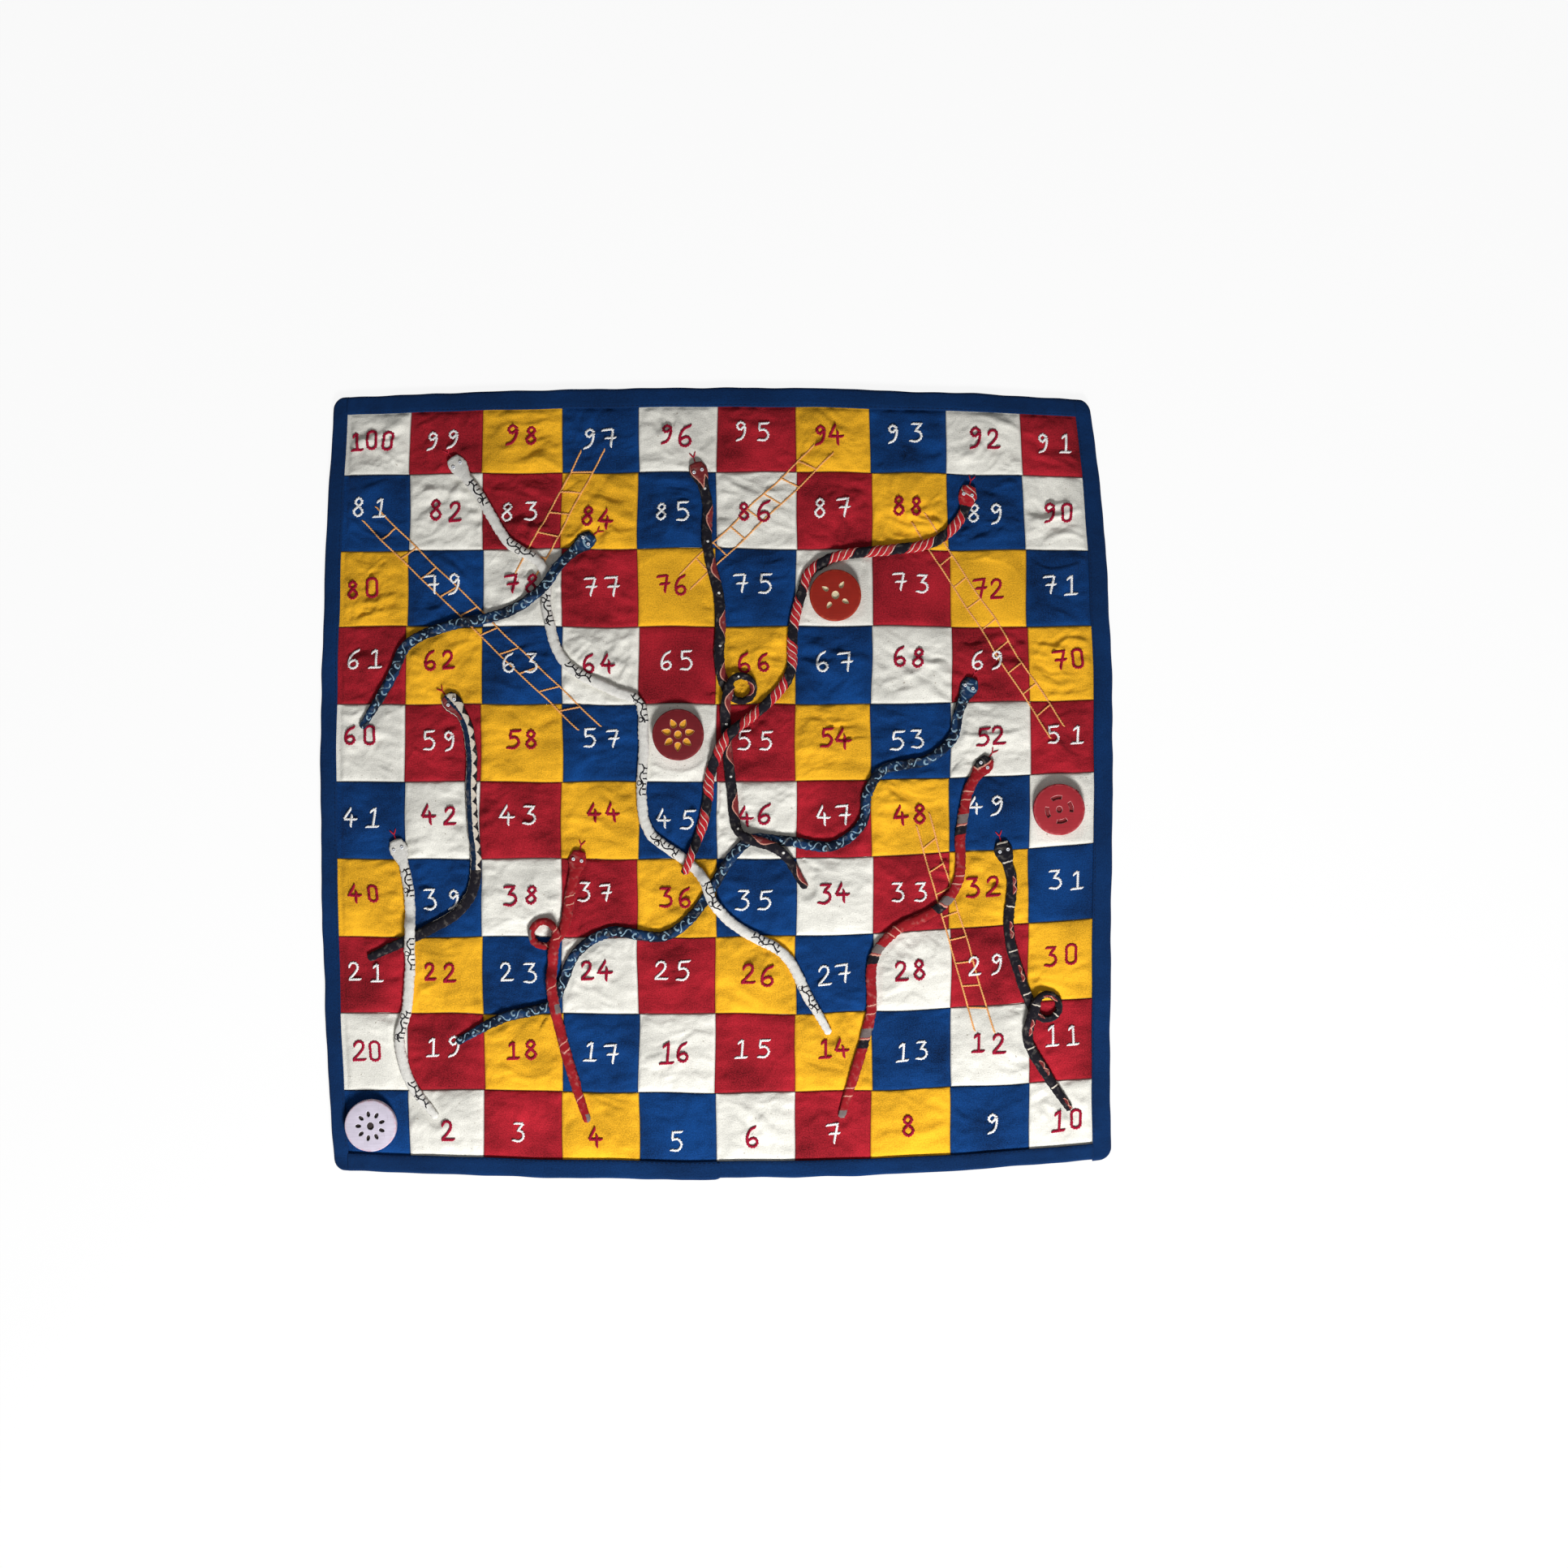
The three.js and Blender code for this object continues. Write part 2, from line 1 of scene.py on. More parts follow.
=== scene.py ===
"""A cloth snakes and ladders board: sewn squares, a bound edge, stuffed snakes, stitching and counters.

Every size is in metres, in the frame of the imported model: X to the right, Y towards the top row, Z up.
"""

import logging
import math
from dataclasses import dataclass
from enum import Enum
from typing import Callable, Optional, Sequence, Union

import bmesh
import bpy
import numpy as np
from mathutils import Matrix, Vector
from mathutils.kdtree import KDTree


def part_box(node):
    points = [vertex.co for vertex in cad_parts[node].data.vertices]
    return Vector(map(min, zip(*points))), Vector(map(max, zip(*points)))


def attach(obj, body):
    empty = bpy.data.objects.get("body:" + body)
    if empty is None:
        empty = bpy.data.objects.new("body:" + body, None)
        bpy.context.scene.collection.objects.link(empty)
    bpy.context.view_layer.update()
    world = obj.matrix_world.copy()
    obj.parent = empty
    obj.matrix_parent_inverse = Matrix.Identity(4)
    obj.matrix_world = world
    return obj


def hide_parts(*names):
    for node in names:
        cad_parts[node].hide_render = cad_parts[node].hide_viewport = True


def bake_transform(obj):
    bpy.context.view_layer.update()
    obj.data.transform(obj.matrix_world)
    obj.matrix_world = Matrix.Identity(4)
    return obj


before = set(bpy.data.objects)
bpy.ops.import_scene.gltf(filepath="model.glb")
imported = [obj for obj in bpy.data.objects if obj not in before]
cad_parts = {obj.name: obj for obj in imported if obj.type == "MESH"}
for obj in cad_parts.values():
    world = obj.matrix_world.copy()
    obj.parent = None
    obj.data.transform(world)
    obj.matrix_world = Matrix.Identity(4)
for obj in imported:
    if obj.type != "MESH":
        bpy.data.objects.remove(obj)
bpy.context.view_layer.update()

LOG = logging.getLogger("board")
MM = 0.001
UP = Vector((0, 0, 1))
FLAT_MAP = "flat"
FULL_TURN = 2 * math.pi
MM_PER_METRE = 1000
JOINING = 0.002 * MM
TOUCHING = 0.001 * MM
Material = bpy.types.Material
Mesh = bpy.types.Mesh
Piece = bpy.types.Object
Colour = tuple[float, float, float, float]
Plan = tuple[float, float]
Array = np.ndarray
Points = tuple[Array, Array]
Place = Callable[[Array, Array], Array]


def srgb(red: int, green: int, blue: int) -> Colour:
    """Turn a colour as a picture shows it into the linear one that a shader takes.

    Args:
        red, green, blue: Parts from 0 to 255.

    Returns:
        The linear colour, with full alpha.
    """
    parts = [c / 255 for c in (red, green, blue)]
    linear = [c / 12.92 if c <= 0.04045 else ((c + 0.055) / 1.055) ** 2.4 for c in parts]
    return (linear[0], linear[1], linear[2], 1.0)


def shaded(colour: Colour, factor: float) -> Colour:
    """Return a colour made lighter or darker by a factor."""
    return (*(min(1.0, c * factor) for c in colour[:3]), 1.0)


def with_other(operation: str, swapped: bool = False) -> Callable[["Term", "Value"], "Term"]:
    """Return the method of a term that adds a Math node for it and another value."""
    return lambda term, other: term.math(operation, other, swapped=swapped)


def alone(operation: str) -> Callable[["Term"], "Term"]:
    """Return the method of a term that adds a Math node for it alone."""
    return lambda term: term.math(operation)


class Term:
    """A value that varies over a surface: a shader socket with arithmetic."""

    def __init__(self, net: "Net", socket: Optional[bpy.types.NodeSocket]) -> None:
        """Wrap a socket of a net."""
        self.net = net
        self.socket = socket

    def math(self, operation: str, *others: "Value", swapped: bool = False) -> "Term":
        """Add a Math node.

        Args:
            operation: The node's operation.
            others: What the operation takes beside this value.
            swapped: Whether this value comes last.

        Returns:
            The node's result.
        """
        values = [self, *others]
        if swapped:
            values.reverse()
        return self.net.node("Math", {"operation": operation}, dict(enumerate(values)))

    def beside(self, output: int) -> "Term":
        """Return another output of the same node."""
        return Term(self.net, self.socket.node.outputs[output])

    __add__ = __radd__ = with_other("ADD")
    __sub__ = with_other("SUBTRACT")
    __rsub__ = with_other("SUBTRACT", swapped=True)
    __mul__ = __rmul__ = with_other("MULTIPLY")
    __truediv__ = with_other("DIVIDE")
    __gt__ = with_other("GREATER_THAN")
    __lt__ = with_other("LESS_THAN")
    most = with_other("MAXIMUM")
    least = with_other("MINIMUM")
    __abs__ = alone("ABSOLUTE")
    sin = alone("SINE")
    root = alone("SQRT")
    fract = alone("FRACT")
    floor = alone("FLOOR")

    def smooth(self, low: float, high: float) -> "Term":
        """Return a smooth step from 0 at low to 1 at high."""
        settings = {"interpolation_type": "SMOOTHSTEP"}
        return self.net.node("MapRange", settings, {0: self, 1: low, 2: high, 3: 0.0, 4: 1.0})

    def within(self, low: float, high: float) -> "Term":
        """Return 1 between two limits, and 0 elsewhere."""
        return (self > low) * (self < high)


Value = Union[Term, float]


class Net:
    """The nodes of a material or of the world, each added by one method."""

    def __init__(self, owner: Union[Material, bpy.types.World]) -> None:
        """Start with no nodes."""
        owner.use_nodes = True
        self.owner = owner
        self.tree = owner.node_tree
        self.tree.nodes.clear()

    @classmethod
    def material(cls, name: str) -> "Net":
        """Start a new material."""
        return cls(bpy.data.materials.new(name))

    def node(
        self,
        kind: str,
        settings: Optional[dict] = None,
        sockets: Optional[dict] = None,
        output: int = 0,
    ) -> Term:
        """Add a node.

        Args:
            kind: The node's type, without its ShaderNode prefix.
            settings: Attributes that are set first.
            sockets: Values or links of its inputs, by name or number.
            output: The output that is returned.

        Returns:
            The output as a term.
        """
        made = self.tree.nodes.new("ShaderNode" + kind)
        for key, value in (settings or {}).items():
            setattr(made, key, value)
        for key, value in (sockets or {}).items():
            if isinstance(value, Term):
                self.tree.links.new(value.socket, made.inputs[key])
            else:
                made.inputs[key].default_value = value
        return Term(self, made.outputs[output] if made.outputs else None)

    def scaled(self, vector: Term, by: tuple[float, float, float]) -> Term:
        """Return a vector with each part multiplied."""
        return self.node("VectorMath", {"operation": "MULTIPLY"}, {0: vector, 1: by})

    def noise(self, vector: Term, scale: float, detail: float = 2.0) -> Term:
        """Return smooth noise from 0 to 1."""
        return self.node("TexNoise", None, {"Vector": vector, "Scale": scale, "Detail": detail})

    def mix(self, share: Value, first: Union[Term, Colour], second: Union[Term, Colour]) -> Term:
        """Return a colour between two colours."""
        sockets = {0: share, 6: first, 7: second}
        return self.node("Mix", {"data_type": "RGBA", "clamp_factor": True}, sockets, output=2)

    def lit(self, colour: Colour, strength: Term) -> Term:
        """Return a colour made lighter or darker by a value that varies."""
        return self.node("VectorMath", {"operation": "SCALE"}, {0: colour[:3], "Scale": strength})

    def flat_map(self) -> Term:
        """Return the piece's own map: metres over a flat cloth, or along and round a snake."""
        return self.node("UVMap", {"uv_map": FLAT_MAP})

    def spot(self) -> Term:
        """Return the place on the piece, in Object coordinates."""
        return self.node("TexCoord", None, None, output=3)

    def parts(self, vector: Term) -> Term:
        """Return the first part of a vector, with the other parts beside it."""
        return self.node("SeparateXYZ", None, {0: vector})

    def finish(
        self,
        colour: Term,
        roughness: Value,
        height: Term,
        depth: float,
        constants: Optional[dict] = None,
    ) -> Material:
        """Close the net with a bumped surface.

        Args:
            colour: The surface's colour.
            roughness: Its roughness.
            height: Its fine relief, from about 0 to 1.
            depth: The depth of that relief in metres.
            constants: Other sockets of the surface, the same all over.

        Returns:
            The finished material.
        """
        normal = self.node("Bump", None, {"Height": height, "Distance": depth, "Strength": 1.0})
        sockets = {"Base Color": colour, "Roughness": roughness, "Normal": normal}
        surface = self.node("BsdfPrincipled", None, {**sockets, **(constants or {})})
        self.node("OutputMaterial", None, {"Surface": surface})
        return self.owner


CLOTH_SURFACE = {"Specular IOR Level": 0.1, "Sheen Weight": 0.03, "Sheen Roughness": 0.6}
SEED = srgb(112, 92, 66)
THREAD_PITCH = 0.55 * MM
SQUARE = 50 * MM


@dataclass(frozen=True)
class Weave:
    """The threads of a plain woven cotton."""

    pitch: float = THREAD_PITCH
    slub_length: float = 5 * MM
    nap: float = 0.75 * MM
    crumple: float = 3.2 * MM
    fineness: float = 0.6

    def streaks(self, net: Net, flat: Term) -> Term:
        """Return the uneven thickness of the threads both ways, about 0.

        Args:
            net: The material's nodes.
            flat: The cloth's own map.

        Returns:
            The unevenness.
        """
        fine, long = self.fineness / self.pitch, 1 / self.slub_length
        warp = net.noise(net.scaled(flat, (long, fine, 1)), 1.0)
        weft = net.noise(net.scaled(flat, (fine, long, 1)), 1.0)
        nap = net.noise(flat, 1 / self.nap, 3.0)
        return (warp + weft) * 0.2 + nap * 1.2 - 0.8

    def relief(self, net: Net, flat: Term, streaks: Term) -> Term:
        """Return the height of crossed threads, slubs and fine crumples.

        Args:
            net: The material's nodes.
            flat: The cloth's own map.
            streaks: The threads' uneven thickness.

        Returns:
            The height, from about 0 to 1.
        """
        u = net.parts(flat)
        turn = FULL_TURN / self.pitch
        crossing = (u * turn).sin() * (u.beside(1) * turn).sin()
        crumple = net.noise(flat, 1 / self.crumple, 3.0)
        return crossing * 0.05 + streaks * 0.6 + crumple * 0.8


@dataclass(frozen=True)
class DyedCotton:
    """A brushed cotton of one dye, uneven all over; where it has seams, it is worn beside them and has
    painted shade along them.
    """

    name: str
    colour: Colour
    mottle: float = 0.6
    specks: float = 0.0
    seam_pitch: Optional[float] = None
    weave: Weave = Weave()
    relief: float = 0.36 * MM

    def material(self) -> Material:
        """Make the cloth's material."""
        net = Net.material(self.name)
        flat = net.flat_map()
        streaks = self.weave.streaks(net, flat)
        clouds = net.noise(flat, 26.0, 4.0)
        uneven = streaks * 1.1 + clouds * 1.5 - 0.75
        strength = (uneven * (2 * self.mottle) + 1).least(0.98 / max(self.colour[:3]))
        colour = net.lit(self.colour, strength)
        # Wear beside the seams, and painted shade along them.
        if self.seam_pitch is not None:
            colour = self.worn(net, flat, colour, self.seam_pitch)
        if self.specks > 0:
            seeds = net.noise(flat, 420.0, 1.0).smooth(0.72, 0.78)
            colour = net.mix(seeds * self.specks, colour, SEED)
        height = self.weave.relief(net, flat, streaks)
        return net.finish(colour, 0.93 - streaks * 0.2, height, self.relief, CLOTH_SURFACE)

    def worn(self, net: Net, flat: Term, colour: Term, pitch: float) -> Term:
        """Return the cloth's colour with painted shade along its seams and the cloth beside them rubbed
        pale by wear.

        Args:
            net: The material's nodes.
            flat: The cloth's own map.
            colour: The colour away from the seams.
            pitch: The distance between two seams.

        Returns:
            The colour.
        """
        u = net.parts(flat)
        off_seam = [0.5 - abs((part / pitch).fract() - 0.5) for part in (u, u.beside(1))]
        off = off_seam[0].least(off_seam[1]) * pitch
        beside = (1 - off.smooth(0.6 * MM, 4 * MM)) * off.smooth(0.2 * MM, 1.2 * MM)
        rubbed = beside * net.noise(flat, 240.0, 3.0)
        pale = shaded(self.colour, 1.0 / max(0.6, *self.colour[:3]))
        colour = net.mix(rubbed * 0.35, colour, pale)
        # Painted shade: a dark line along each seam, where its groove would be in shade.
        seam = 1 - off.smooth(0.1 * MM, 0.9 * MM)
        return net.mix(seam * 0.6, colour, shaded(self.colour, 0.25))


class Print(Enum):
    """The printed cottons that the snakes are made of."""

    INDIGO = "indigo"
    ZIGZAG = "zigzag"
    WHITE = "white"
    BARRED = "barred"
    STRIPED = "striped"
    RED = "red"
    BANDED = "banded"
    BLACK = "black"


INK = srgb(26, 24, 32)
CREAM = srgb(222, 212, 196)
SCARLET = srgb(154, 26, 34)
MAROON = srgb(128, 44, 46)
ASH = srgb(118, 106, 104)
INDIGO = srgb(22, 54, 92)
PALE_BLUE = srgb(150, 182, 200)
BLUSH = srgb(214, 150, 132)
CHALK = srgb(226, 224, 218)
BLACK = (0.0, 0.0, 0.0, 1.0)
WHITE = (1.0, 1.0, 1.0, 1.0)


@dataclass(frozen=True)
class PrintedCotton:
    """A snake's cotton, printed by block in repeats along its length.

    The patterns take distances along the snake, and across it from its middle, in millimetres.
    """

    motif: Print
    weave: Weave = Weave()
    relief: float = 0.3 * MM

    def material(self) -> Material:
        """Make the cloth's material from the map along and round the snake."""
        net = Net.material(f"{self.motif.value}_print")
        flat = net.flat_map()
        streaks = self.weave.streaks(net, flat)
        raw = net.parts(flat)
        ragged = net.noise(flat, 620.0, 2.0) - 0.5
        along = raw * MM_PER_METRE + ragged * 1.1
        across = raw.beside(1) * MM_PER_METRE + ragged * 0.8
        colour = getattr(self, self.motif.value)(net, along, across)
        worn = net.noise(flat, 300.0, 4.0)
        faded = net.mix(0.16, colour, CREAM)
        colour = net.mix(worn.smooth(0.5, 0.75) * 0.8, colour, faded)
        dark = net.mix(0.45, colour, BLACK)
        colour = net.mix((0.5 - streaks * 1.2 - worn * 0.5) * 0.8, colour, dark)
        height = self.weave.relief(net, flat, streaks)
        return net.finish(colour, 0.86 - streaks * 0.2, height, self.relief, CLOTH_SURFACE)

    @staticmethod
    def indigo(net: Net, along: Term, across: Term) -> Term:
        """Return pale curling lines on dark and mid blue patches."""
        cell = along / 9.5
        way = (cell.floor() * 0.5).fract() * 4 - 1
        step = (cell.fract() - 0.5) * 9.5
        wave = (abs(across - way * (step * 0.62).sin() * 2.5) < 0.6) * step.within(-4.2, 2.6)
        side = across + way * 1.3
        reach = ((step - 2.4) * (step - 2.4) + side * side).root()
        hook = reach.within(1.1, 2.1) * (step > 1.9)
        patch = (along * 0.23).sin() + (across * 0.7 + along * 0.11).sin()
        ground = net.mix(patch.smooth(0.0, 0.7), shaded(INDIGO, 0.25), INDIGO)
        whole = net.noise(net.flat_map(), 190.0).smooth(0.4, 0.52)
        return net.mix(wave.most(hook) * whole * 0.85, ground, PALE_BLUE)

    @staticmethod
    def zigzag(net: Net, along: Term, across: Term) -> Term:
        """Return a dark stripe beside a pale one with a row of dark teeth."""
        tooth = abs((along / 8.2).fract() - 0.5) * 2
        pale = (across > 0.2) * ((across - 0.6) < (1 - tooth) * 4.0) * (along < 118.0)
        line = across.within(-3.9, -3.2) * (along < 165.0)
        colour = net.mix(across.within(-3.2, 0.2) * (along < 118.0), INK, shaded(INDIGO, 0.5))
        head = along < 20.0
        colour = net.mix(pale.most(line), colour, CREAM)
        return net.mix(head * across.within(-3.0, -0.6), colour, MAROON)

    @staticmethod
    def white(net: Net, along: Term, across: Term) -> Term:
        """Return groups of dark ticks and a wavy line on white."""
        group = ((along - 14) / 47).fract().within(0.08, 0.52)
        tick = (along / 3.4).fract().within(0.0, 0.28) * across.within(0.4, 4.2)
        wave = abs(across - (along * 0.62).sin() * 0.9) < 0.42
        hook = abs((along / 13.6).fract() - 0.5) * 13.6
        reach = (hook * hook + (across + 1.4) * (across + 1.4)).root()
        curl = reach.within(1.1, 1.8)
        marks = group * tick.most(wave).most(curl) * (along > 20.0)
        return net.mix(marks, CHALK, INK)

    @staticmethod
    def barred(net: Net, along: Term, across: Term) -> Term:
        """Return outlined half rounds along one edge of a black ground, with a dot between two."""
        step = ((along - 26) / 34).fract() * 34
        inner = across + 0.7 - (step - 12) * (step - 12) * 0.06
        head = 4.8 - along * 0.25 - abs(across)
        bar = inner.most(head)
        colour = net.mix(bar > 0.0, INK, BLUSH)
        colour = net.mix(bar > 0.6, colour, MAROON)
        spot = (step - 27) * (step - 27) + (across - 0.5) * (across - 0.5)
        return net.mix(spot < 0.5, colour, CHALK)

    @staticmethod
    def striped(net: Net, along: Term, across: Term) -> Term:
        """Return slanted red bands with fine pale lines, and black between the bands."""
        slant = along - across * 0.85
        band = ((slant + 6) / 26).fract() < 0.6
        line = (slant / 4.4).fract().within(0.42, 0.58)
        colour = net.mix(band.most(along < 14.0), INK, shaded(SCARLET, 1.5))
        return net.mix(line * band, colour, CREAM)

    @staticmethod
    def red(net: Net, along: Term, across: Term) -> Term:
        """Return red with a few pale lines and grey patches."""
        slant = along + across * 0.5
        line = ((slant - 30) / 37).fract().within(0.0, 0.022)
        second = ((slant - 32) / 74).fract().within(0.05, 0.062) * (across > -1.0)
        patch = ((along - 40) / 74).fract().within(0.52, 0.6) * (across > 0.2) * (along > 26.0)
        colour = net.mix(patch, SCARLET, ASH)
        return net.mix(line.most(second) * (along > 26.0), colour, BLUSH)

    @staticmethod
    def banded(net: Net, along: Term, across: Term) -> Term:
        """Return red with pale lines, grey bands and black bands."""
        step = ((along + across * 0.3 - 4) / 55).fract()
        colour = net.mix(step.within(0.68, 0.79), SCARLET, ASH)
        colour = net.mix(step.within(0.82, 0.92), colour, INK)
        line = step.within(0.4, 0.415).most(step.within(0.5, 0.515)).most(step.within(0.8, 0.82))
        colour = net.mix(line, colour, BLUSH)
        panel = 1.2 - along * 0.2 - across
        colour = net.mix((panel > 0.0) * (along < 11.0), colour, INK)
        edge = panel.within(-0.5, 0.0) * (along < 11.0)
        edge = edge.most((panel > -0.5) * along.within(11.0, 11.8))
        return net.mix(edge, colour, BLUSH)

    @staticmethod
    def black(net: Net, along: Term, across: Term) -> Term:
        """Return black with small outlined teeth along one edge and pale cross lines."""
        step = ((along - 24) / 29).fract() * 29
        tooth = 3.4 - abs((step / 5.6).fract() - 0.5) * 4.6 - across
        group = (step < 11.2) * (across > 0.3) * (along > 24.0)
        colour = net.mix(group * tooth.within(0.0, 0.8), INK, BLUSH)
        colour = net.mix(group * (tooth > 0.8), colour, MAROON)
        line = step.within(19.0, 19.8).most(along.within(1.0, 2.2)) * (across > -2.4)
        return net.mix(line, colour, CREAM)


@dataclass(frozen=True)
class Thread:
    """Soft twisted embroidery thread."""

    name: str
    colour: Colour

    def material(self) -> Material:
        """Make the thread's material."""
        net = Net.material(self.name)
        spot = net.spot()
        fuzz = net.noise(spot, 2600.0, 3.0)
        clouds = net.noise(spot, 120.0, 2.0)
        share = fuzz * 0.8 + clouds * 0.6 - 0.2
        colour = net.mix(share, shaded(self.colour, 0.7), shaded(self.colour, 1.16))
        constants = {"Specular IOR Level": 0.15}
        return net.finish(colour, 0.62 + fuzz * 0.3, fuzz, 0.12 * MM, constants)


@dataclass(frozen=True)
class CarvedWood:
    """Stained wood, scratched on its face, and paler in patches near its edge: partly rubbed wear, partly a
    painted highlight where the rounded edge catches the light.
    """

    name: str
    colour: Colour
    worn: Colour
    centre: Vector
    radius: float
    blotch: float = 0.5

    def material(self) -> Material:
        """Make the wood's material."""
        net = Net.material(self.name)
        spot = net.spot()
        local = net.node("VectorMath", {"operation": "SUBTRACT"}, {0: spot, 1: self.centre})
        grain = net.noise(net.scaled(local, (90.0, 1100.0, 300.0)), 1.0, 4.0)
        blotch = net.noise(local, 130.0, 5.0)
        scratch = net.noise(net.scaled(local, (2400.0, 110.0, 100.0)), 1.0, 2.0).smooth(0.66, 0.72)
        share = grain * 0.7 + blotch * self.blotch * 1.4 - 0.25
        colour = net.mix(share, shaded(self.colour, 0.74), shaded(self.colour, 1.2))
        level = net.scaled(local, (1.0, 1.0, 0.0))
        out = net.node("VectorMath", {"operation": "LENGTH"}, {0: level}, output=1)
        # Paler patches near the edge: partly wear, partly a painted highlight of the rounded edge.
        rim_highlight = out.smooth(self.radius - 1.9 * MM, self.radius - 0.2 * MM)
        rubbed = rim_highlight * net.noise(local, 420.0, 4.0).smooth(0.38, 0.66)
        colour = net.mix(rubbed * 0.6, colour, self.worn)
        colour = net.mix(scratch * 0.08, colour, self.worn)
        height = grain * 0.5 + blotch * 0.3 + scratch * -0.5
        return net.finish(colour, 0.55 + blotch * 0.25, height, 0.12 * MM, {"Specular IOR Level": 0.25})


@dataclass(frozen=True)
class MottledFill:
    """A mottled fill: the colour of most counters' carvings, painted shade in the rose counter's carving
    and in the beads' openings, and a painted highlight on the lips of every carving.
    """

    name: str
    colour: Colour

    def material(self) -> Material:
        """Make the fill's material."""
        net = Net.material(self.name)
        spot = net.spot()
        brushed = net.noise(spot, 900.0, 4.0)
        colour = net.mix(brushed, shaded(self.colour, 0.62), shaded(self.colour, 1.15))
        return net.finish(colour, 0.5 + brushed * 0.3, brushed, 0.2 * MM)


@dataclass(frozen=True)
class GlassBead:
    """A pearly glass bead; the dark in its opening is a separate disc of painted shade."""

    name: str = "glass_bead"
    colour: Colour = srgb(224, 226, 232)

    def material(self) -> Material:
        """Make the bead's material."""
        net = Net.material(self.name)
        spot = net.spot()
        swirl = net.noise(spot, 800.0, 3.0)
        colour = net.mix(swirl, shaded(self.colour, 0.7), self.colour)
        return net.finish(colour, 0.12 + swirl * 0.15, swirl, 0.02 * MM, {"Coat Weight": 0.6})


@dataclass(frozen=True)
class Wadding:
    """Loose cotton wadding."""

    name: str = "wadding"
    colour: Colour = srgb(224, 219, 206)

    def material(self) -> Material:
        """Make the wadding's material."""
        net = Net.material(self.name)
        spot = net.spot()
        fibre = net.noise(spot, 700.0, 6.0)
        colour = net.mix(fibre, shaded(self.colour, 0.8), shaded(self.colour, 1.08))
        return net.finish(colour, 0.95, fibre, 0.5 * MM, {"Specular IOR Level": 0.1})


def mesh_of(bm: bmesh.types.BMesh, name: str) -> Mesh:
    """Free a bmesh into a new smooth mesh."""
    mesh = bpy.data.meshes.new(name)
    bm.to_mesh(mesh)
    bm.free()
    mesh.shade_smooth()
    return mesh


def add_piece(name: str, mesh: Mesh, *finishes: Material) -> Piece:
    """Add a mesh to the scene as a piece.

    Args:
        name: The piece's name.
        mesh: Its mesh, in place.
        finishes: Its materials.

    Returns:
        The new object, at the origin.
    """
    mesh.name = name
    for finish in finishes:
        mesh.materials.append(finish)
    piece = bpy.data.objects.new(name, mesh)
    bpy.context.scene.collection.objects.link(piece)
    LOG.info("made %s with %d faces", name, len(mesh.polygons))
    return piece


def grid_mesh(name: str, columns: int, rows: int, place: Place, flat: Place) -> Mesh:
    """Lay a grid along a surface, with a map of its flat cloth.

    Args:
        name: The mesh's name.
        columns, rows: The grid's steps each way.
        place: Gives points in space for shares from 0 to 1 along the columns and the rows.
        flat: Gives points on the flat cloth for the same shares.

    Returns:
        The mesh.
    """
    bm = bmesh.new()
    bmesh.ops.create_grid(bm, x_segments=columns, y_segments=rows, size=1)
    mesh = mesh_of(bm, name)
    points = np.zeros(len(mesh.vertices) * 3)
    mesh.vertices.foreach_get("co", points)
    shares = np.clip((points.reshape(-1, 3) + 1) / 2, 0, 1)
    mesh.vertices.foreach_set("co", place(shares[:, 0], shares[:, 1]).ravel())
    corners = np.zeros(len(mesh.loops), dtype=np.int32)
    mesh.loops.foreach_get("vertex_index", corners)
    layer = mesh.uv_layers.new(name=FLAT_MAP)
    layer.data.foreach_set("uv", flat(shares[:, 0], shares[:, 1])[corners].ravel())
    mesh.update()
    return mesh


def close_mesh(mesh: Mesh) -> None:
    """Join the touching edges of a mesh, and turn its faces outwards."""
    bm = bmesh.new()
    bm.from_mesh(mesh)
    bmesh.ops.remove_doubles(bm, verts=bm.verts, dist=JOINING)
    bmesh.ops.dissolve_degenerate(bm, edges=bm.edges, dist=TOUCHING)
    bmesh.ops.recalc_face_normals(bm, faces=bm.faces)
    bm.to_mesh(mesh)
    bm.free()
    mesh.shade_smooth()


def thicken(piece: Piece, thickness: float) -> None:
    """Give a sheet its thickness with a modifier, behind its surface."""
    modifier = piece.modifiers.new("thickness", "SOLIDIFY")
    modifier.thickness = thickness
    modifier.offset = -1.0


class Noise:
    """Repeatable smooth noise over a plane, from about -1 to 1."""

    SIZE = 128

    def __init__(self, seed: int) -> None:
        """Draw the slopes of the noise's lattice."""
        angles = np.random.default_rng(seed).random((self.SIZE, self.SIZE)) * 2 * math.pi
        self.slopes = np.stack([np.cos(angles), np.sin(angles)], axis=-1)

    def __call__(self, x: Array, y: Array) -> Array:
        """Return the noise at points, in steps of the lattice."""
        x, y = np.asarray(x, float), np.asarray(y, float)
        column, row = np.floor(x).astype(int), np.floor(y).astype(int)
        across, up = x - column, y - row
        ease = [t * t * t * (t * (t * 6 - 15) + 10) for t in (across, up)]

        def corner(i: int, j: int) -> Array:
            """Return what one lattice corner adds."""
            slope = self.slopes[(column + i) % self.SIZE, (row + j) % self.SIZE]
            return slope[..., 0] * (across - i) + slope[..., 1] * (up - j)

        low = corner(0, 0) + (corner(1, 0) - corner(0, 0)) * ease[0]
        high = corner(0, 1) + (corner(1, 1) - corner(0, 1)) * ease[0]
        return (low + (high - low) * ease[1]) * 1.5


def ease(value: Array, low: float, high: float) -> Array:
    """Return a smooth step from 0 at low to 1 at high."""
    share = np.clip((value - low) / (high - low), 0, 1)
    return share * share * (3 - 2 * share)


SPAN_SAMPLES = 40
LEAST_SPAN = 1e-9


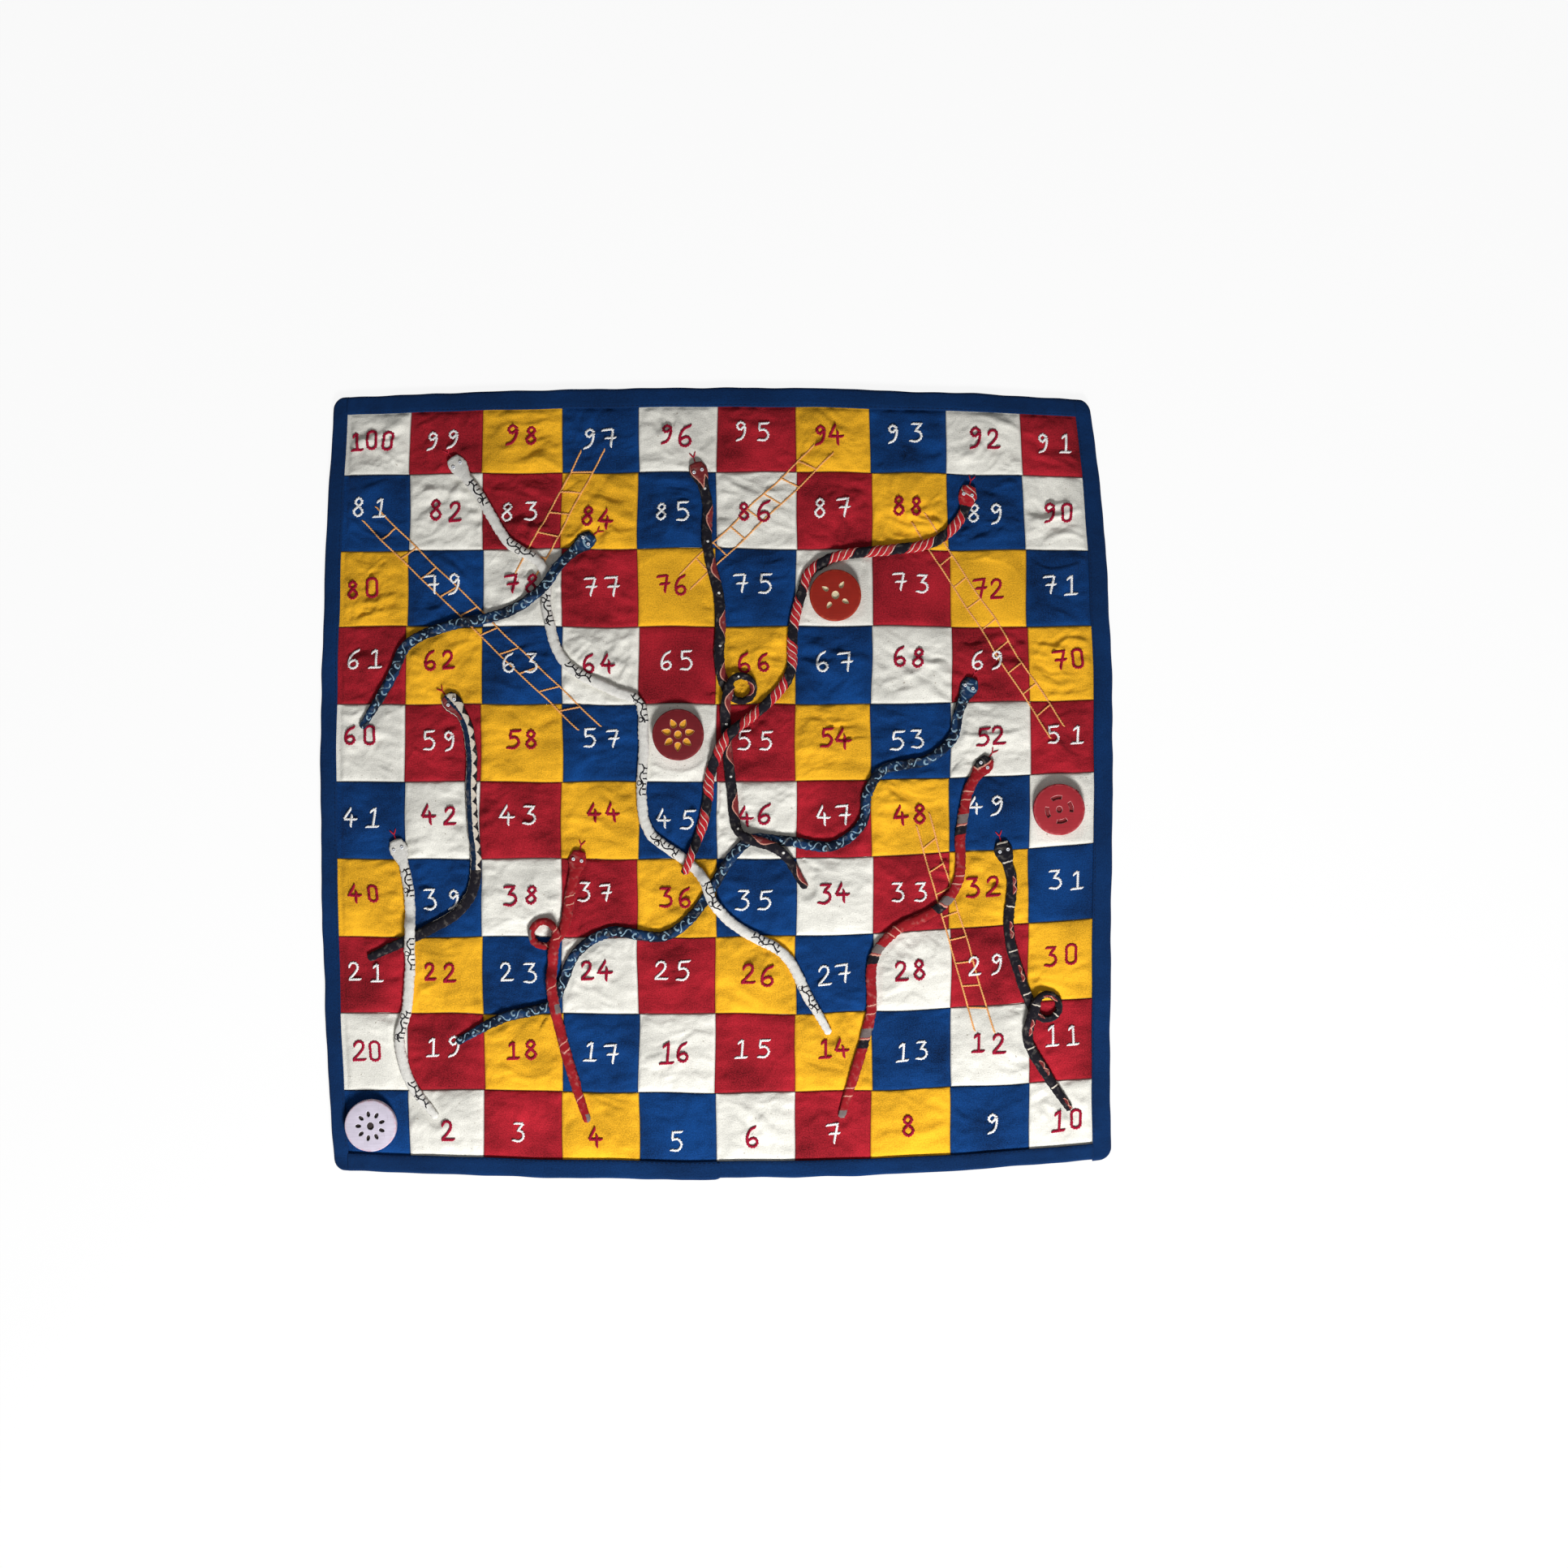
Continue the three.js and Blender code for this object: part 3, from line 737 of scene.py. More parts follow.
def smooth_route(points: Sequence[Plan], step: float, straight: bool = False) -> Array:
    """Follow a smooth curve, or straight lines, through points.

    Args:
        points: The points of the route.
        step: The length between two points of the result.
        straight: Whether the route has corners at its points.

    Returns:
        Points along the route at even lengths.
    """
    knots = np.array(points, float)
    if not straight:
        ends = np.vstack([2 * knots[0] - knots[1], knots, 2 * knots[-1] - knots[-2]])
        share = np.linspace(0, 1, SPAN_SAMPLES, endpoint=False)[:, None]
        fine = []
        for before, start, end, after in zip(ends, ends[1:], ends[2:], ends[3:]):
            spans = (start - before, end - start, after - end)
            first, second, third = [max(np.linalg.norm(span), LEAST_SPAN) ** 0.5 for span in spans]
            leave = (start - before) / first - (end - before) / (first + second)
            leave = leave * second + (end - start)
            reach = (after - end) / third - (after - start) / (second + third)
            reach = reach * second + (end - start)
            bend = 2 * start - 2 * end + leave + reach
            turn = -3 * start + 3 * end - 2 * leave - reach
            fine.append(start + share * (leave + share * (turn + share * bend)))
        knots = np.vstack([*fine, knots[-1:]])
    lengths = np.concatenate([[0], np.cumsum(np.linalg.norm(np.diff(knots, axis=0), axis=1))])
    count = max(2, round(lengths[-1] / step) + 1)
    at = np.linspace(0, lengths[-1], count)
    return np.stack([np.interp(at, lengths, knots[:, axis]) for axis in (0, 1)], axis=1)


@dataclass(frozen=True)
class Fold:
    """The fold across the middle of the board, and what moves with its two halves."""

    reach: float = 14 * MM

    def carry(self, piece: Piece) -> None:
        """Make a piece move with its half, or bake its place into its mesh where it lies across the fold.
        """
        sides = [vertex.co.y for vertex in piece.data.vertices]
        if max(sides) <= -self.reach:
            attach(piece, "lower_half")
        elif min(sides) >= self.reach:
            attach(piece, "upper_half")
        else:
            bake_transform(piece)


FOLD = Fold()


@dataclass(frozen=True)
class Corner:
    """Where a corner of the board lies, off the place that an even bow gives it."""

    side: int
    end: int
    shift: Plan


@dataclass(frozen=True)
class Wave:
    """One size of the cloth's soft waves: their lengths each way, and their height."""

    across: float
    up: float
    height: float


@dataclass(frozen=True)
class Crinkle:
    """Long narrow waves in patches: their heading, sizes and height, and the size of the patches."""

    heading: float
    length: float
    width: float
    height: float
    patch: float


@dataclass(frozen=True)
class Tuck:
    """A sharp crease, steep on its upper side: three points of its line, in millimetres."""

    line: tuple[Plan, Plan, Plan]
    height: float = 1.0 * MM
    slope: float = 4.2 * MM
    drop: float = 1.0 * MM
    samples: int = 60
    nearby: float = 15 * MM
    fading: float = 0.2
    roundness: float = 1.3

    def level(self, x: Array, y: Array) -> Array:
        """Return the height that the crease adds at points of the flat board."""
        start, middle, end = np.array(self.line) * MM
        share = np.linspace(0, 1, self.samples)[:, None]
        bend = 2 * middle - (start + end) / 2
        path = (1 - share) ** 2 * start + 2 * share * (1 - share) * bend + share**2 * end
        heading = np.gradient(path, axis=0)
        heading = heading / np.linalg.norm(heading, axis=1)[:, None]
        near = np.hypot(x - middle[0], y - middle[1]) < np.linalg.norm(end - start) / 2 + self.nearby
        away = [part[near] for part in (x, y)]
        apart = np.hypot(away[0][:, None] - path[:, 0], away[1][:, None] - path[:, 1])
        at = apart.argmin(axis=1)
        side = (away[1] - path[at, 1]) * heading[at, 0] - (away[0] - path[at, 0]) * heading[at, 1]
        fade = ease(np.minimum(at, self.samples - 1 - at) / self.samples, 0, self.fading)
        gentle = np.exp(-((abs(side) / self.slope) ** self.roundness))
        steep = np.exp(-((side / self.drop) ** 2))
        ridge = np.where(side < 0, gentle, steep)
        added = np.zeros_like(x)
        added[near] = self.height * fade * ridge
        return added


@dataclass
class Lay:
    """How the cloth lies: its outline, its sewn relief and its wrinkles."""

    BENDS = 2
    GATHERS = 6
    WAVES = 8
    CRINKLES = 12
    PUCKERS = 18
    PATCHES = 20

    pitch: float = SQUARE
    per_side: int = 10
    window: float = 241 * MM
    half: float = 254 * MM
    bow: float = 9 * MM
    wander: float = 1.1 * MM
    unevenness: float = 0.75 * MM
    rise: float = 13 * MM
    seam_depth: float = 0.75 * MM
    groove: float = 0.45 * MM
    puff: float = 1.75 * MM
    puff_reach: float = 4.6 * MM
    lowest: float = 1.95 * MM
    under_counter: float = 0.15 * MM
    over_face: float = 3.4 * MM
    sunk: float = 0.4 * MM
    belly: float = 3 * MM
    spread: float = 1.006
    rise_at: float = -90 * MM
    rise_reach: float = 115 * MM
    belly_from: float = 180 * MM
    wander_from: float = 200 * MM
    wander_sizes: Plan = (60 * MM, 45 * MM)
    cutting: tuple[Plan, Plan] = ((2.4, 37.7), (5.1, 11.3))
    groove_reach: float = 0.9 * MM
    calm_least: float = 0.2
    calm_reach: Plan = (18 * MM, 32 * MM)
    pressed: float = 0.3
    free: float = 0.9
    thread_sunk: float = 0.05
    thread_rise: float = 0.65
    sewn_edge: float = 2.5 * MM
    gather: float = 1.2 * MM
    gather_sizes: Plan = (6 * MM, 18 * MM)
    gather_peak: float = 8 * MM
    gather_end: float = 24 * MM
    bends: tuple[Wave, Wave] = (Wave(28 * MM, 28 * MM, 6 * MM), Wave(9 * MM, 9 * MM, 1.6 * MM))
    waves: tuple[Wave, ...] = (
        Wave(30 * MM, 19 * MM, 1.5 * MM),
        Wave(12 * MM, 14 * MM, 0.7 * MM),
        Wave(5 * MM, 4.2 * MM, 0.2 * MM),
        Wave(2.4 * MM, 2.1 * MM, 0.07 * MM),
    )
    crinkles: tuple[Crinkle, ...] = (
        Crinkle(0.35, 26 * MM, 7.5 * MM, 1.5 * MM, 40 * MM),
        Crinkle(-0.5, 26 * MM, 7 * MM, 1.45 * MM, 45 * MM),
        Crinkle(1.35, 24 * MM, 7.5 * MM, 1.0 * MM, 50 * MM),
        Crinkle(0.0, 30 * MM, 8 * MM, 1.35 * MM, 50 * MM),
        Crinkle(0.7, 13 * MM, 3.8 * MM, 0.55 * MM, 34 * MM),
        Crinkle(-0.2, 14 * MM, 3.6 * MM, 0.55 * MM, 30 * MM),
    )
    patch_edge: Plan = (-0.15, 0.4)
    crease: float = 0.3
    crease_width: float = 0.22
    lower_share: float = 0.58
    upper_more: float = 0.52
    upper_reach: Plan = (-100 * MM, 150 * MM)
    tucks: tuple[Tuck, ...] = (
        Tuck(((80, 21), (90, 26.3), (112, 26)), 1.9 * MM),
        Tuck(((190, 88.5), (207, 87.5), (225, 83)), 2.2 * MM, 6 * MM, 1.7 * MM),
        Tuck(((217, 81), (226, 91), (242, 86)), 2.2 * MM, 5 * MM, 1.5 * MM),
        Tuck(((244, 94), (239, 80), (237, 64)), 1.6 * MM, 5 * MM, 1.5 * MM),
        Tuck(((-137, 169), (-121, 165), (-101, 163)), 1.6 * MM),
        Tuck(((-108, 162), (-96, 157), (-82, 158.5)), 1.4 * MM),
        Tuck(((64, 38), (80, 33), (96, 36)), 1.1 * MM),
        Tuck(((203, 143), (219, 137), (241, 144)), 1.2 * MM),
        Tuck(((153, 91), (164, 88), (181, 93)), 1.3 * MM),
        Tuck(((203, 41), (217, 22), (236, 8)), 1.3 * MM, 6 * MM, 1.5 * MM),
        Tuck(((152, 32), (170, 27.5), (201, 32)), 1.3 * MM),
        Tuck(((156, 109), (174, 111), (198, 105)), 1.1 * MM),
        Tuck(((-240, 227), (-222, 222), (-203, 225)), 1.3 * MM),
        Tuck(((203, -76), (222, -81), (241, -77)), 1.2 * MM),
    )
    pucker: float = 0.9 * MM
    pucker_sizes: Plan = (6.5 * MM, 30 * MM)
    pucker_reach: float = 8 * MM
    pucker_from: float = 2 * MM
    corners: tuple[Corner, ...] = (
        Corner(-1, 1, (0.2 * MM, 2.4 * MM)),
        Corner(1, 1, (-6.5 * MM, 0.8 * MM)),
        Corner(1, -1, (8 * MM, -0.2 * MM)),
        Corner(-1, -1, (0.2 * MM, -6 * MM)),
    )

    def __post_init__(self) -> None:
        """Read the face's height from the frame and draw the noises, which the capital names number."""
        self.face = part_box("squares_row_01")[1].z
        self.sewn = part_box("ladder_12_48")[0].z
        self.noises = [Noise(seed) for seed in range(11, 41)]
        self.tree: Optional[KDTree] = None
        self.lengths = np.zeros(0)
        self.runs: list[tuple[Vector, Vector]] = []

    def plan(self, x: Array, y: Array) -> Points:
        """Return where points of a flat, square board lie in plan."""
        x, y = np.asarray(x, float), np.asarray(y, float)
        pull = self.bow / self.half * (x * y / self.half**2) ** 2
        out_x, out_y = x * (1 - pull) * self.spread, y * (1 - pull)
        for corner in self.corners:
            near_x = np.clip(corner.side * x / self.half, 0, 1) ** 3
            near_y = np.clip(corner.end * y / self.half, 0, 1) ** 3
            near = near_x * near_y
            out_x, out_y = out_x + near * corner.shift[0], out_y + near * corner.shift[1]
        out_x = out_x + self.seam_shift(x, y)
        right = np.clip(x / self.half, 0, 1) ** 2
        out_y = out_y + self.rise * right * np.exp(-(((y - self.rise_at) / self.rise_reach) ** 2))
        out_y = out_y - self.belly * ease(-y, self.belly_from, self.half) * (1 - (x / self.half) ** 2)
        inside = 1 - 0.5 * ease(np.maximum(abs(x), abs(y)), self.wander_from, self.half)
        long, short = self.wander_sizes
        out_x = out_x + self.wander * inside * self.noises[0](x / long + 7, y / short)
        out_y = out_y + self.wander * inside * self.noises[1](x / short, y / long + 3)
        return out_x, out_y

    def seam_shift(self, x: Array, y: Array) -> Array:
        """Return how far the uneven cutting of each strip moves points along it."""
        count = self.per_side
        row = np.clip(np.floor(y / self.pitch + count / 2), 0, count - 1)
        column = np.clip(x / self.pitch + count / 2, 0, count)
        first = np.minimum(np.floor(column), count - 1)
        shift = np.zeros_like(column)
        for step, share in ((0, 1 - column + first), (1, column - first)):
            seam = first + step
            free = sum(np.sin(seam * by_seam + row * by_row) for by_seam, by_row in self.cutting)
            shift = shift + share * np.where((seam > 0) & (seam < count), free, 0.0)
        return self.unevenness * shift

    def flatten(self, x: Array, y: Array) -> Points:
        """Return the points of the flat board that lie at places in plan."""
        flat_x, flat_y = np.asarray(x, float), np.asarray(y, float)
        for _ in range(4):
            lain_x, lain_y = self.plan(flat_x, flat_y)
            flat_x, flat_y = flat_x + x - lain_x, flat_y + y - lain_y
        return flat_x, flat_y

    def sew_on(self, routes: Sequence[Array]) -> None:
        """Keep where the snakes are sewn, so that the cloth draws in beside them.

        Args:
            routes: The middle lines of the snakes, in plan.
        """
        points = np.vstack(routes)
        self.lengths = np.arange(len(points)) * SNAKE_STEP
        self.tree = KDTree(len(points))
        for index, (x, y) in enumerate(points):
            self.tree.insert((x, y, 0), index)
        self.tree.balance()

    def off_seam(self, part: Array) -> Array:
        """Return the distance along one axis from the nearest seam or bound edge."""
        steps = np.asarray(part) / self.pitch
        inner = abs(steps - np.round(steps)) * self.pitch
        last = (self.per_side / 2 - 1) * self.pitch
        edge = np.where(abs(part) > last, np.minimum(abs(part) - last, self.window - abs(part)), inner)
        return np.maximum(edge, 0)

    def calm(self, x: Array, y: Array) -> Array:
        """Return how freely the cloth wrinkles at places in plan: less where a counter slides.

        Args:
            x, y: The places.

        Returns:
            Shares up to 1.
        """
        share = np.ones_like(x)
        for start, end in self.runs:
            run = end - start
            along = np.clip(((x - start.x) * run.x + (y - start.y) * run.y) / run.length_squared, 0, 1)
            away = np.hypot(x - start.x - along * run.x, y - start.y - along * run.y)
            free = ease(away, *self.calm_reach)
            share = np.minimum(share, self.calm_least + (1 - self.calm_least) * free)
        return share

    def height(self, x: Array, y: Array) -> Array:
        """Return the height of the face at points of the flat board."""
        x, y = np.asarray(x, float), np.asarray(y, float)
        off = [self.off_seam(part) for part in (x, y)]
        puff = (1 - np.exp(-off[0] / self.puff_reach)) * (1 - np.exp(-off[1] / self.puff_reach))
        nearest = np.minimum(off[0], off[1])
        level = self.face - self.seam_depth - self.groove * np.exp(-((nearest / self.groove_reach) ** 2))
        calm = self.calm(*self.plan(x, y))
        level = level + puff * (self.puff + calm * self.wrinkles(x, y)) + calm * self.puckers(x, y, *off)
        if self.tree is not None:
            level = self.drawn_in(level, x, y)
        highest = self.face + self.under_counter + ease(calm, self.pressed, 1.0) * self.over_face
        return np.clip(level, self.lowest, highest)

    def drawn_in(self, level: Array, x: Array, y: Array) -> Array:
        """Return heights gathered beside the snakes, and pressed down under them.

        Args:
            level: The heights without the snakes.
            x, y: The points of the flat board.

        Returns:
            The heights.
        """
        lain_x, lain_y = self.plan(x, y)
        near = [self.tree.find((px, py, 0)) for px, py in zip(lain_x.ravel(), lain_y.ravel())]
        away = np.array([found[2] for found in near]).reshape(x.shape)
        along = self.lengths[[found[1] for found in near]].reshape(x.shape)
        beside = ease(away, self.sewn_edge, self.gather_peak)
        gather = self.noises[self.GATHERS](along / self.gather_sizes[0], away / self.gather_sizes[1])
        fade = beside * (1 - ease(away, self.gather_peak, self.gather_end))
        level = level + self.gather * gather * fade
        return np.minimum(level, level * beside + (self.face - self.sunk) * (1 - beside))

    def wrinkles(self, x: Array, y: Array) -> Array:
        """Return the height of the wrinkles at points of the flat board."""
        noise = self.noises
        wide, fine = self.bends
        bent = [
            part
            + wide.height * noise[k](x / wide.across, y / wide.up)
            + fine.height * noise[k + 2](x / fine.across, y / fine.up)
            for k, part in ((self.BENDS, x), (self.BENDS + 2, y))
        ]
        level = np.zeros_like(x)
        for number, wave in enumerate(self.waves):
            wavy = noise[self.WAVES + number](bent[0] / wave.across + 9, bent[1] / wave.up)
            level = level + wave.height * wavy
        for number, crinkle in enumerate(self.crinkles):
            cos, sin = math.cos(crinkle.heading), math.sin(crinkle.heading)
            along = (bent[0] * cos + bent[1] * sin) / crinkle.length
            across = (bent[1] * cos - bent[0] * sin) / crinkle.width
            wave = noise[self.CRINKLES + number](along + 3 * number, across)
            patch = noise[self.PATCHES + number](x / crinkle.patch + 5 * number, y / crinkle.patch)
            where = ease(patch, *self.patch_edge)
            sharp = np.exp(-((wave / self.crease_width) ** 2))
            level = level + crinkle.height * where * (wave - self.crease * sharp)
        level = level * (self.lower_share + self.upper_more * ease(y, *self.upper_reach))
        for tuck in self.tucks:
            level = level + tuck.level(x, y)
        return level

    def puckers(self, x: Array, y: Array, off_x: Array, off_y: Array) -> Array:
        """Return the height of the small puckers along the seams.

        Args:
            x, y: The points of the flat board.
            off_x, off_y: Their distances from the nearest seams.

        Returns:
            The heights.
        """
        level = np.zeros_like(x)
        short, long = self.pucker_sizes
        for number, (along, across, off) in enumerate(((x, y, off_y), (y, x, off_x))):
            ripple = self.noises[self.PUCKERS + number](along / short, across / long)
            fade = np.exp(-off / self.pucker_reach)
            level = level + self.pucker * ripple * fade * ease(off, 0, self.pucker_from)
        return level

    def surface(self, x: Array, y: Array) -> Array:
        """Return points on the face for points of the flat board."""
        return np.stack([*self.plan(x, y), self.height(x, y)], axis=-1)

    def over(self, x: Array, y: Array) -> Array:
        """Return the height of the face at places in plan."""
        return self.height(*self.flatten(x, y))

    def thread_over(self, x: Array, y: Array, radius: float) -> Array:
        """Return the middle height of thread on the face, pressed in where a counter slides."""
        free = ease(self.calm(x, y), self.pressed, self.free)
        return self.over(x, y) + radius * (self.thread_sunk + self.thread_rise * free)


class Dye(Enum):
    """The four cloths of the squares, in the order that they take along a row."""

    WHITE = 0
    RED = 1
    YELLOW = 2
    BLUE = 3


DYES = {
    Dye.WHITE: DyedCotton("white_cotton", srgb(226, 224, 215), 0.26, 0.5, SQUARE),
    Dye.RED: DyedCotton("red_cotton", srgb(150, 26, 38), 0.8, 0.0, SQUARE),
    Dye.YELLOW: DyedCotton("yellow_cotton", srgb(232, 172, 36), 0.5, 0.0, SQUARE),
    Dye.BLUE: DyedCotton("blue_cotton", srgb(7, 52, 106), 0.8, 0.0, SQUARE),
}


@dataclass
class Squares:
    """The face: ten strips of ten sewn squares."""

    lay: Lay
    steps: int = 53
    crowding: float = 0.2
    cloth: float = 0.6 * MM
    gap: float = 0.1 * MM
    last: float = 0.9999999

    def spread(self, share: Array) -> Array:
        """Return shares of a square crowded towards its seams."""
        whole = np.floor(share)
        part = share - whole
        return whole + part - self.crowding * np.sin(FULL_TURN * part) / FULL_TURN

    def build(self) -> None:
        """Make the strips, from the bottom one up."""
        finishes = [DYES[dye].material() for dye in Dye]
        for row in range(self.lay.per_side):
            self.strip(row, finishes)

    def strip(self, row: int, finishes: Sequence[Material]) -> None:
        """Make one strip.

        Args:
            row: The strip's number from the bottom, starting at 0.
            finishes: The four cloths.
        """
        count, pitch = self.lay.per_side, self.lay.pitch

        def nominal(u: Array, v: Array) -> Points:
            """Return points of the flat board for shares of the strip."""
            x = (self.spread(u * count) - count / 2) * pitch
            inner = self.gap + (pitch - 2 * self.gap) * self.spread(v * self.last)
            return x, (row - count / 2) * pitch + inner

        name = f"strip_{row + 1:02d}"
        mesh = grid_mesh(
            name,
            count * self.steps,
            self.steps,
            lambda u, v: self.lay.surface(*nominal(u, v)),
            lambda u, v: np.stack(nominal(u, v), axis=-1),
        )
        piece = add_piece(name, mesh, *finishes)
        from_top = count - 1 - row
        for face in mesh.polygons:
            column = int(face.index % (count * self.steps) / self.steps)
            face.material_index = (column - from_top) % len(Dye)
        thicken(piece, self.cloth)
        FOLD.carry(piece)
        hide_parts(f"squares_row_{row + 1:02d}")


@dataclass
class Layers:
    """The wadding and the backing under the squares."""

    lay: Lay
    steps: int = 120
    reach: float = 249.5 * MM
    backing_floor: float = 0.62 * MM
    backing_cloth: float = 0.45 * MM
    crowding: float = 0.72
    wadding_floor: float = 1.2 * MM
    wadding_least: float = 0.2 * MM
    wadding_top: float = 1.85 * MM
    wadding_gap: float = 0.68 * MM
    slack_reach: float = 20 * MM
    ridge: float = 0.2 * MM
    ridge_sharpness: float = 2.2
    ridge_sizes: tuple[Plan, Plan] = ((30 * MM, 50 * MM), (24 * MM, 70 * MM))
    ripple: Wave = Wave(11 * MM, 13 * MM, 0.12 * MM)
    hang: float = 0.1 * MM

    def flat(self, u: Array, v: Array) -> Array:
        """Return points of the flat layer, in rows that lie closer towards the fold."""
        up = 2 * v - 1
        up = up - self.crowding * np.sin(math.pi * up) / math.pi
        return np.stack([(2 * u - 1) * self.reach, up * self.reach], axis=-1)

    def build(self) -> None:
        """Make both layers."""
        self.backing()
        self.wadding()

    def backing(self) -> None:
        """Make the blue cloth under the board, with its own soft wrinkles."""
        noises = [Noise(31), Noise(32)]

        def place(u: Array, v: Array) -> Array:
            """Return points on the backing's underside."""
            x, y = self.flat(u, v).T
            slack = ease(self.lay.window - np.maximum(abs(x), abs(y)), 0, self.slack_reach)
            (x_over, y_over), (y_up, x_up) = self.ridge_sizes
            ridge = 1 - self.ridge_sharpness * abs(noises[0](x / x_over + y / y_over, y / y_up - x / x_up))
            ripple = noises[1](x / self.ripple.across, y / self.ripple.up)
            sag = (self.ridge * ridge + self.ripple.height * ripple) * slack
            return np.stack([*self.lay.plan(x, y), self.backing_floor - self.hang + sag], axis=-1)

        mesh = grid_mesh("backing", self.steps, self.steps, place, self.flat)
        mesh.flip_normals()
        cloth = DyedCotton("backing_cotton", srgb(6, 43, 86), 0.4)
        piece = add_piece("backing", mesh, cloth.material())
        thicken(piece, self.backing_cloth)
        FOLD.carry(piece)
        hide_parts("backing_lower", "backing_upper")

    def wadding(self) -> None:
        """Make the wadding, pressed thin along the seams."""

        def place(u: Array, v: Array) -> Array:
            """Return points on the wadding's top."""
            x, y = self.flat(u, v).T
            above = self.lay.height(x, y) - self.wadding_gap
            above = np.clip(above, self.wadding_floor + self.wadding_least, self.wadding_top)
            return np.stack([*self.lay.plan(x, y), above], axis=-1)

        mesh = grid_mesh("wadding", self.steps, self.steps, place, self.flat)
        bm = bmesh.new()
        bm.from_mesh(mesh)
        under = bmesh.ops.extrude_face_region(bm, geom=bm.faces[:], use_keep_orig=True)["geom"]
        for vertex in under:
            if isinstance(vertex, bmesh.types.BMVert):
                vertex.co.z = self.wadding_floor
        bmesh.ops.recalc_face_normals(bm, faces=bm.faces)
        bm.to_mesh(mesh)
        bm.free()
        piece = add_piece("wadding", mesh, Wadding().material())
        FOLD.carry(piece)
        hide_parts("lining_lower", "lining_upper")


class Side(Enum):
    """The four lengths of the binding, with the quarter turns from the bottom one."""

    BOTTOM = 0
    RIGHT = 1
    TOP = 2
    LEFT = 3


SEWING_THREAD = 0.22 * MM
WIDTHS = {Side.BOTTOM: 12 * MM, Side.RIGHT: 12.4 * MM, Side.TOP: 12.6 * MM, Side.LEFT: 10.6 * MM}


@dataclass
class Binding:
    """A folded tape round the board's edge, in four lengths, with a line of stitches."""

    lay: Lay
    stitcher: "Stitcher"
    tape: float = 0.5 * MM
    top: float = 3.95 * MM
    corner: float = 8 * MM
    pinch: float = 2.6 * MM
    steps: int = 420
    section: int = 26
    stitch_in: float = 1.3 * MM
    stitch_pitch: float = 3.1 * MM
    stitch_end: float = 2 * MM
    stitch_half: float = 0.9 * MM
    stitch_sunk: float = 0.42 * MM
    join_at: float = 1 * MM
    join_width: float = 0.8 * MM
    join_sunk: float = 0.45 * MM
    join_step: float = 1.1 * MM
    hem: float = 3 * MM
    hem_sunk: float = 0.62 * MM
    puckers: tuple[Wave, Wave] = (Wave(7 * MM, 9 * MM, 0.24 * MM), Wave(2.6 * MM, 3 * MM, 0.07 * MM))
    pucker_apart: int = 50
    under_share: float = 0.15
    overlap: float = 0.6 * MM
    crowding: float = 1.4
    waver: float = 0.5 * MM
    waver_length: float = 20 * MM
    lowest: float = 0.03 * MM

    def __post_init__(self) -> None:
        """Draw the noises of the tape's puckers."""
        self.noises = [Noise(seed) for seed in (41, 42)]

    def build(self) -> None:
        """Make the four lengths and their stitches."""
        cloth = DyedCotton("binding_cotton", srgb(6, 42, 86), 0.45).material()
        thread = Thread("binding_thread", srgb(10, 30, 62)).material()
        for side in Side:
            self.length(side, cloth)
            self.stitches(side, thread)

    def runs_through(self, side: Side) -> bool:
        """Tell whether a length runs through the corners."""
        return side in (Side.LEFT, Side.RIGHT)

    def turned(self, side: Side, along: Array, inset: Array) -> Points:
        """Return points of the flat board beside its edge.

        Args:
            side: Which length of the tape.
            along: Distances from the middle of the side.
            inset: Distances in from the edge.

        Returns:
            The points.
        """
        x, y = along, inset - self.lay.half
        for _ in range(side.value):
            x, y = -y, x
        return x, y

    def across(self, side: Side, along: Array, share: Array) -> Points:
        """Return the tape's section at distances along a side.

        Args:
            side: Which length of the tape.
            along: Distances from the middle of the side.
            share: Shares of the way from the lower leaf's edge round the fold to the upper one's.

        Returns:
            The inset from the board's edge, and the height.
        """
        least = np.zeros_like(along)
        closed = np.ones_like(along)
        if self.runs_through(side):
            past = np.clip((abs(along) - (self.lay.half - self.corner)) / self.corner, 0, 1)
            least = self.corner * (1 - np.sqrt(1 - past**2))
            late = np.clip((abs(along) - (self.lay.half - self.pinch)) / self.pinch, 0, 1)
            closed = np.sqrt(np.maximum(1 - late**2, 0))
        width = WIDTHS[side]
        radius = self.top / 2
        leaf = width - radius
        bend = math.pi * radius
        run = share * (2 * leaf + bend)
        angle = np.clip((run - leaf) / radius, 0, math.pi)
        on_leaf = np.where(run < leaf, leaf - run, np.maximum(run - leaf - bend, 0))
        inset = radius * (1 - np.sin(angle)) + on_leaf
        height = radius * (1 - np.cos(angle))
        inset = least + inset * (width - least) / width
        upper = run > leaf + bend / 2
        turned_in = ease(inset, width - self.hem, width)
        start = self.pucker_apart * side.value
        pucker = sum(
            wave.height * noise(along / wave.across + start, inset / wave.up)
            for noise, wave in zip(self.noises, self.puckers)
        )
        slack = np.sin(np.clip(inset / width, 0, 1) * math.pi)
        swell = pucker * slack - self.hem_sunk * turned_in
        height = np.where(upper, height + swell, height - self.under_share * swell * (1 - turned_in))
        if side is Side.BOTTOM:
            join = np.exp(-(((along - self.join_at) / self.join_width) ** 2))
            height = np.where(upper, height - self.join_sunk * join, height)
            past = ease(along, self.join_at - MM, self.join_at + MM)
            inset = inset + self.join_step * past * (1 - inset / width)
        return inset, radius + (height - radius) * closed

    def ends(self, side: Side) -> tuple[float, float]:
        """Return where a length of the tape starts and ends, along its side."""
        if self.runs_through(side):
            return -self.lay.half, self.lay.half
        left, right = [self.lay.half - WIDTHS[end] + self.overlap for end in (Side.LEFT, Side.RIGHT)]
        return (-left, right) if side is Side.BOTTOM else (-right, left)

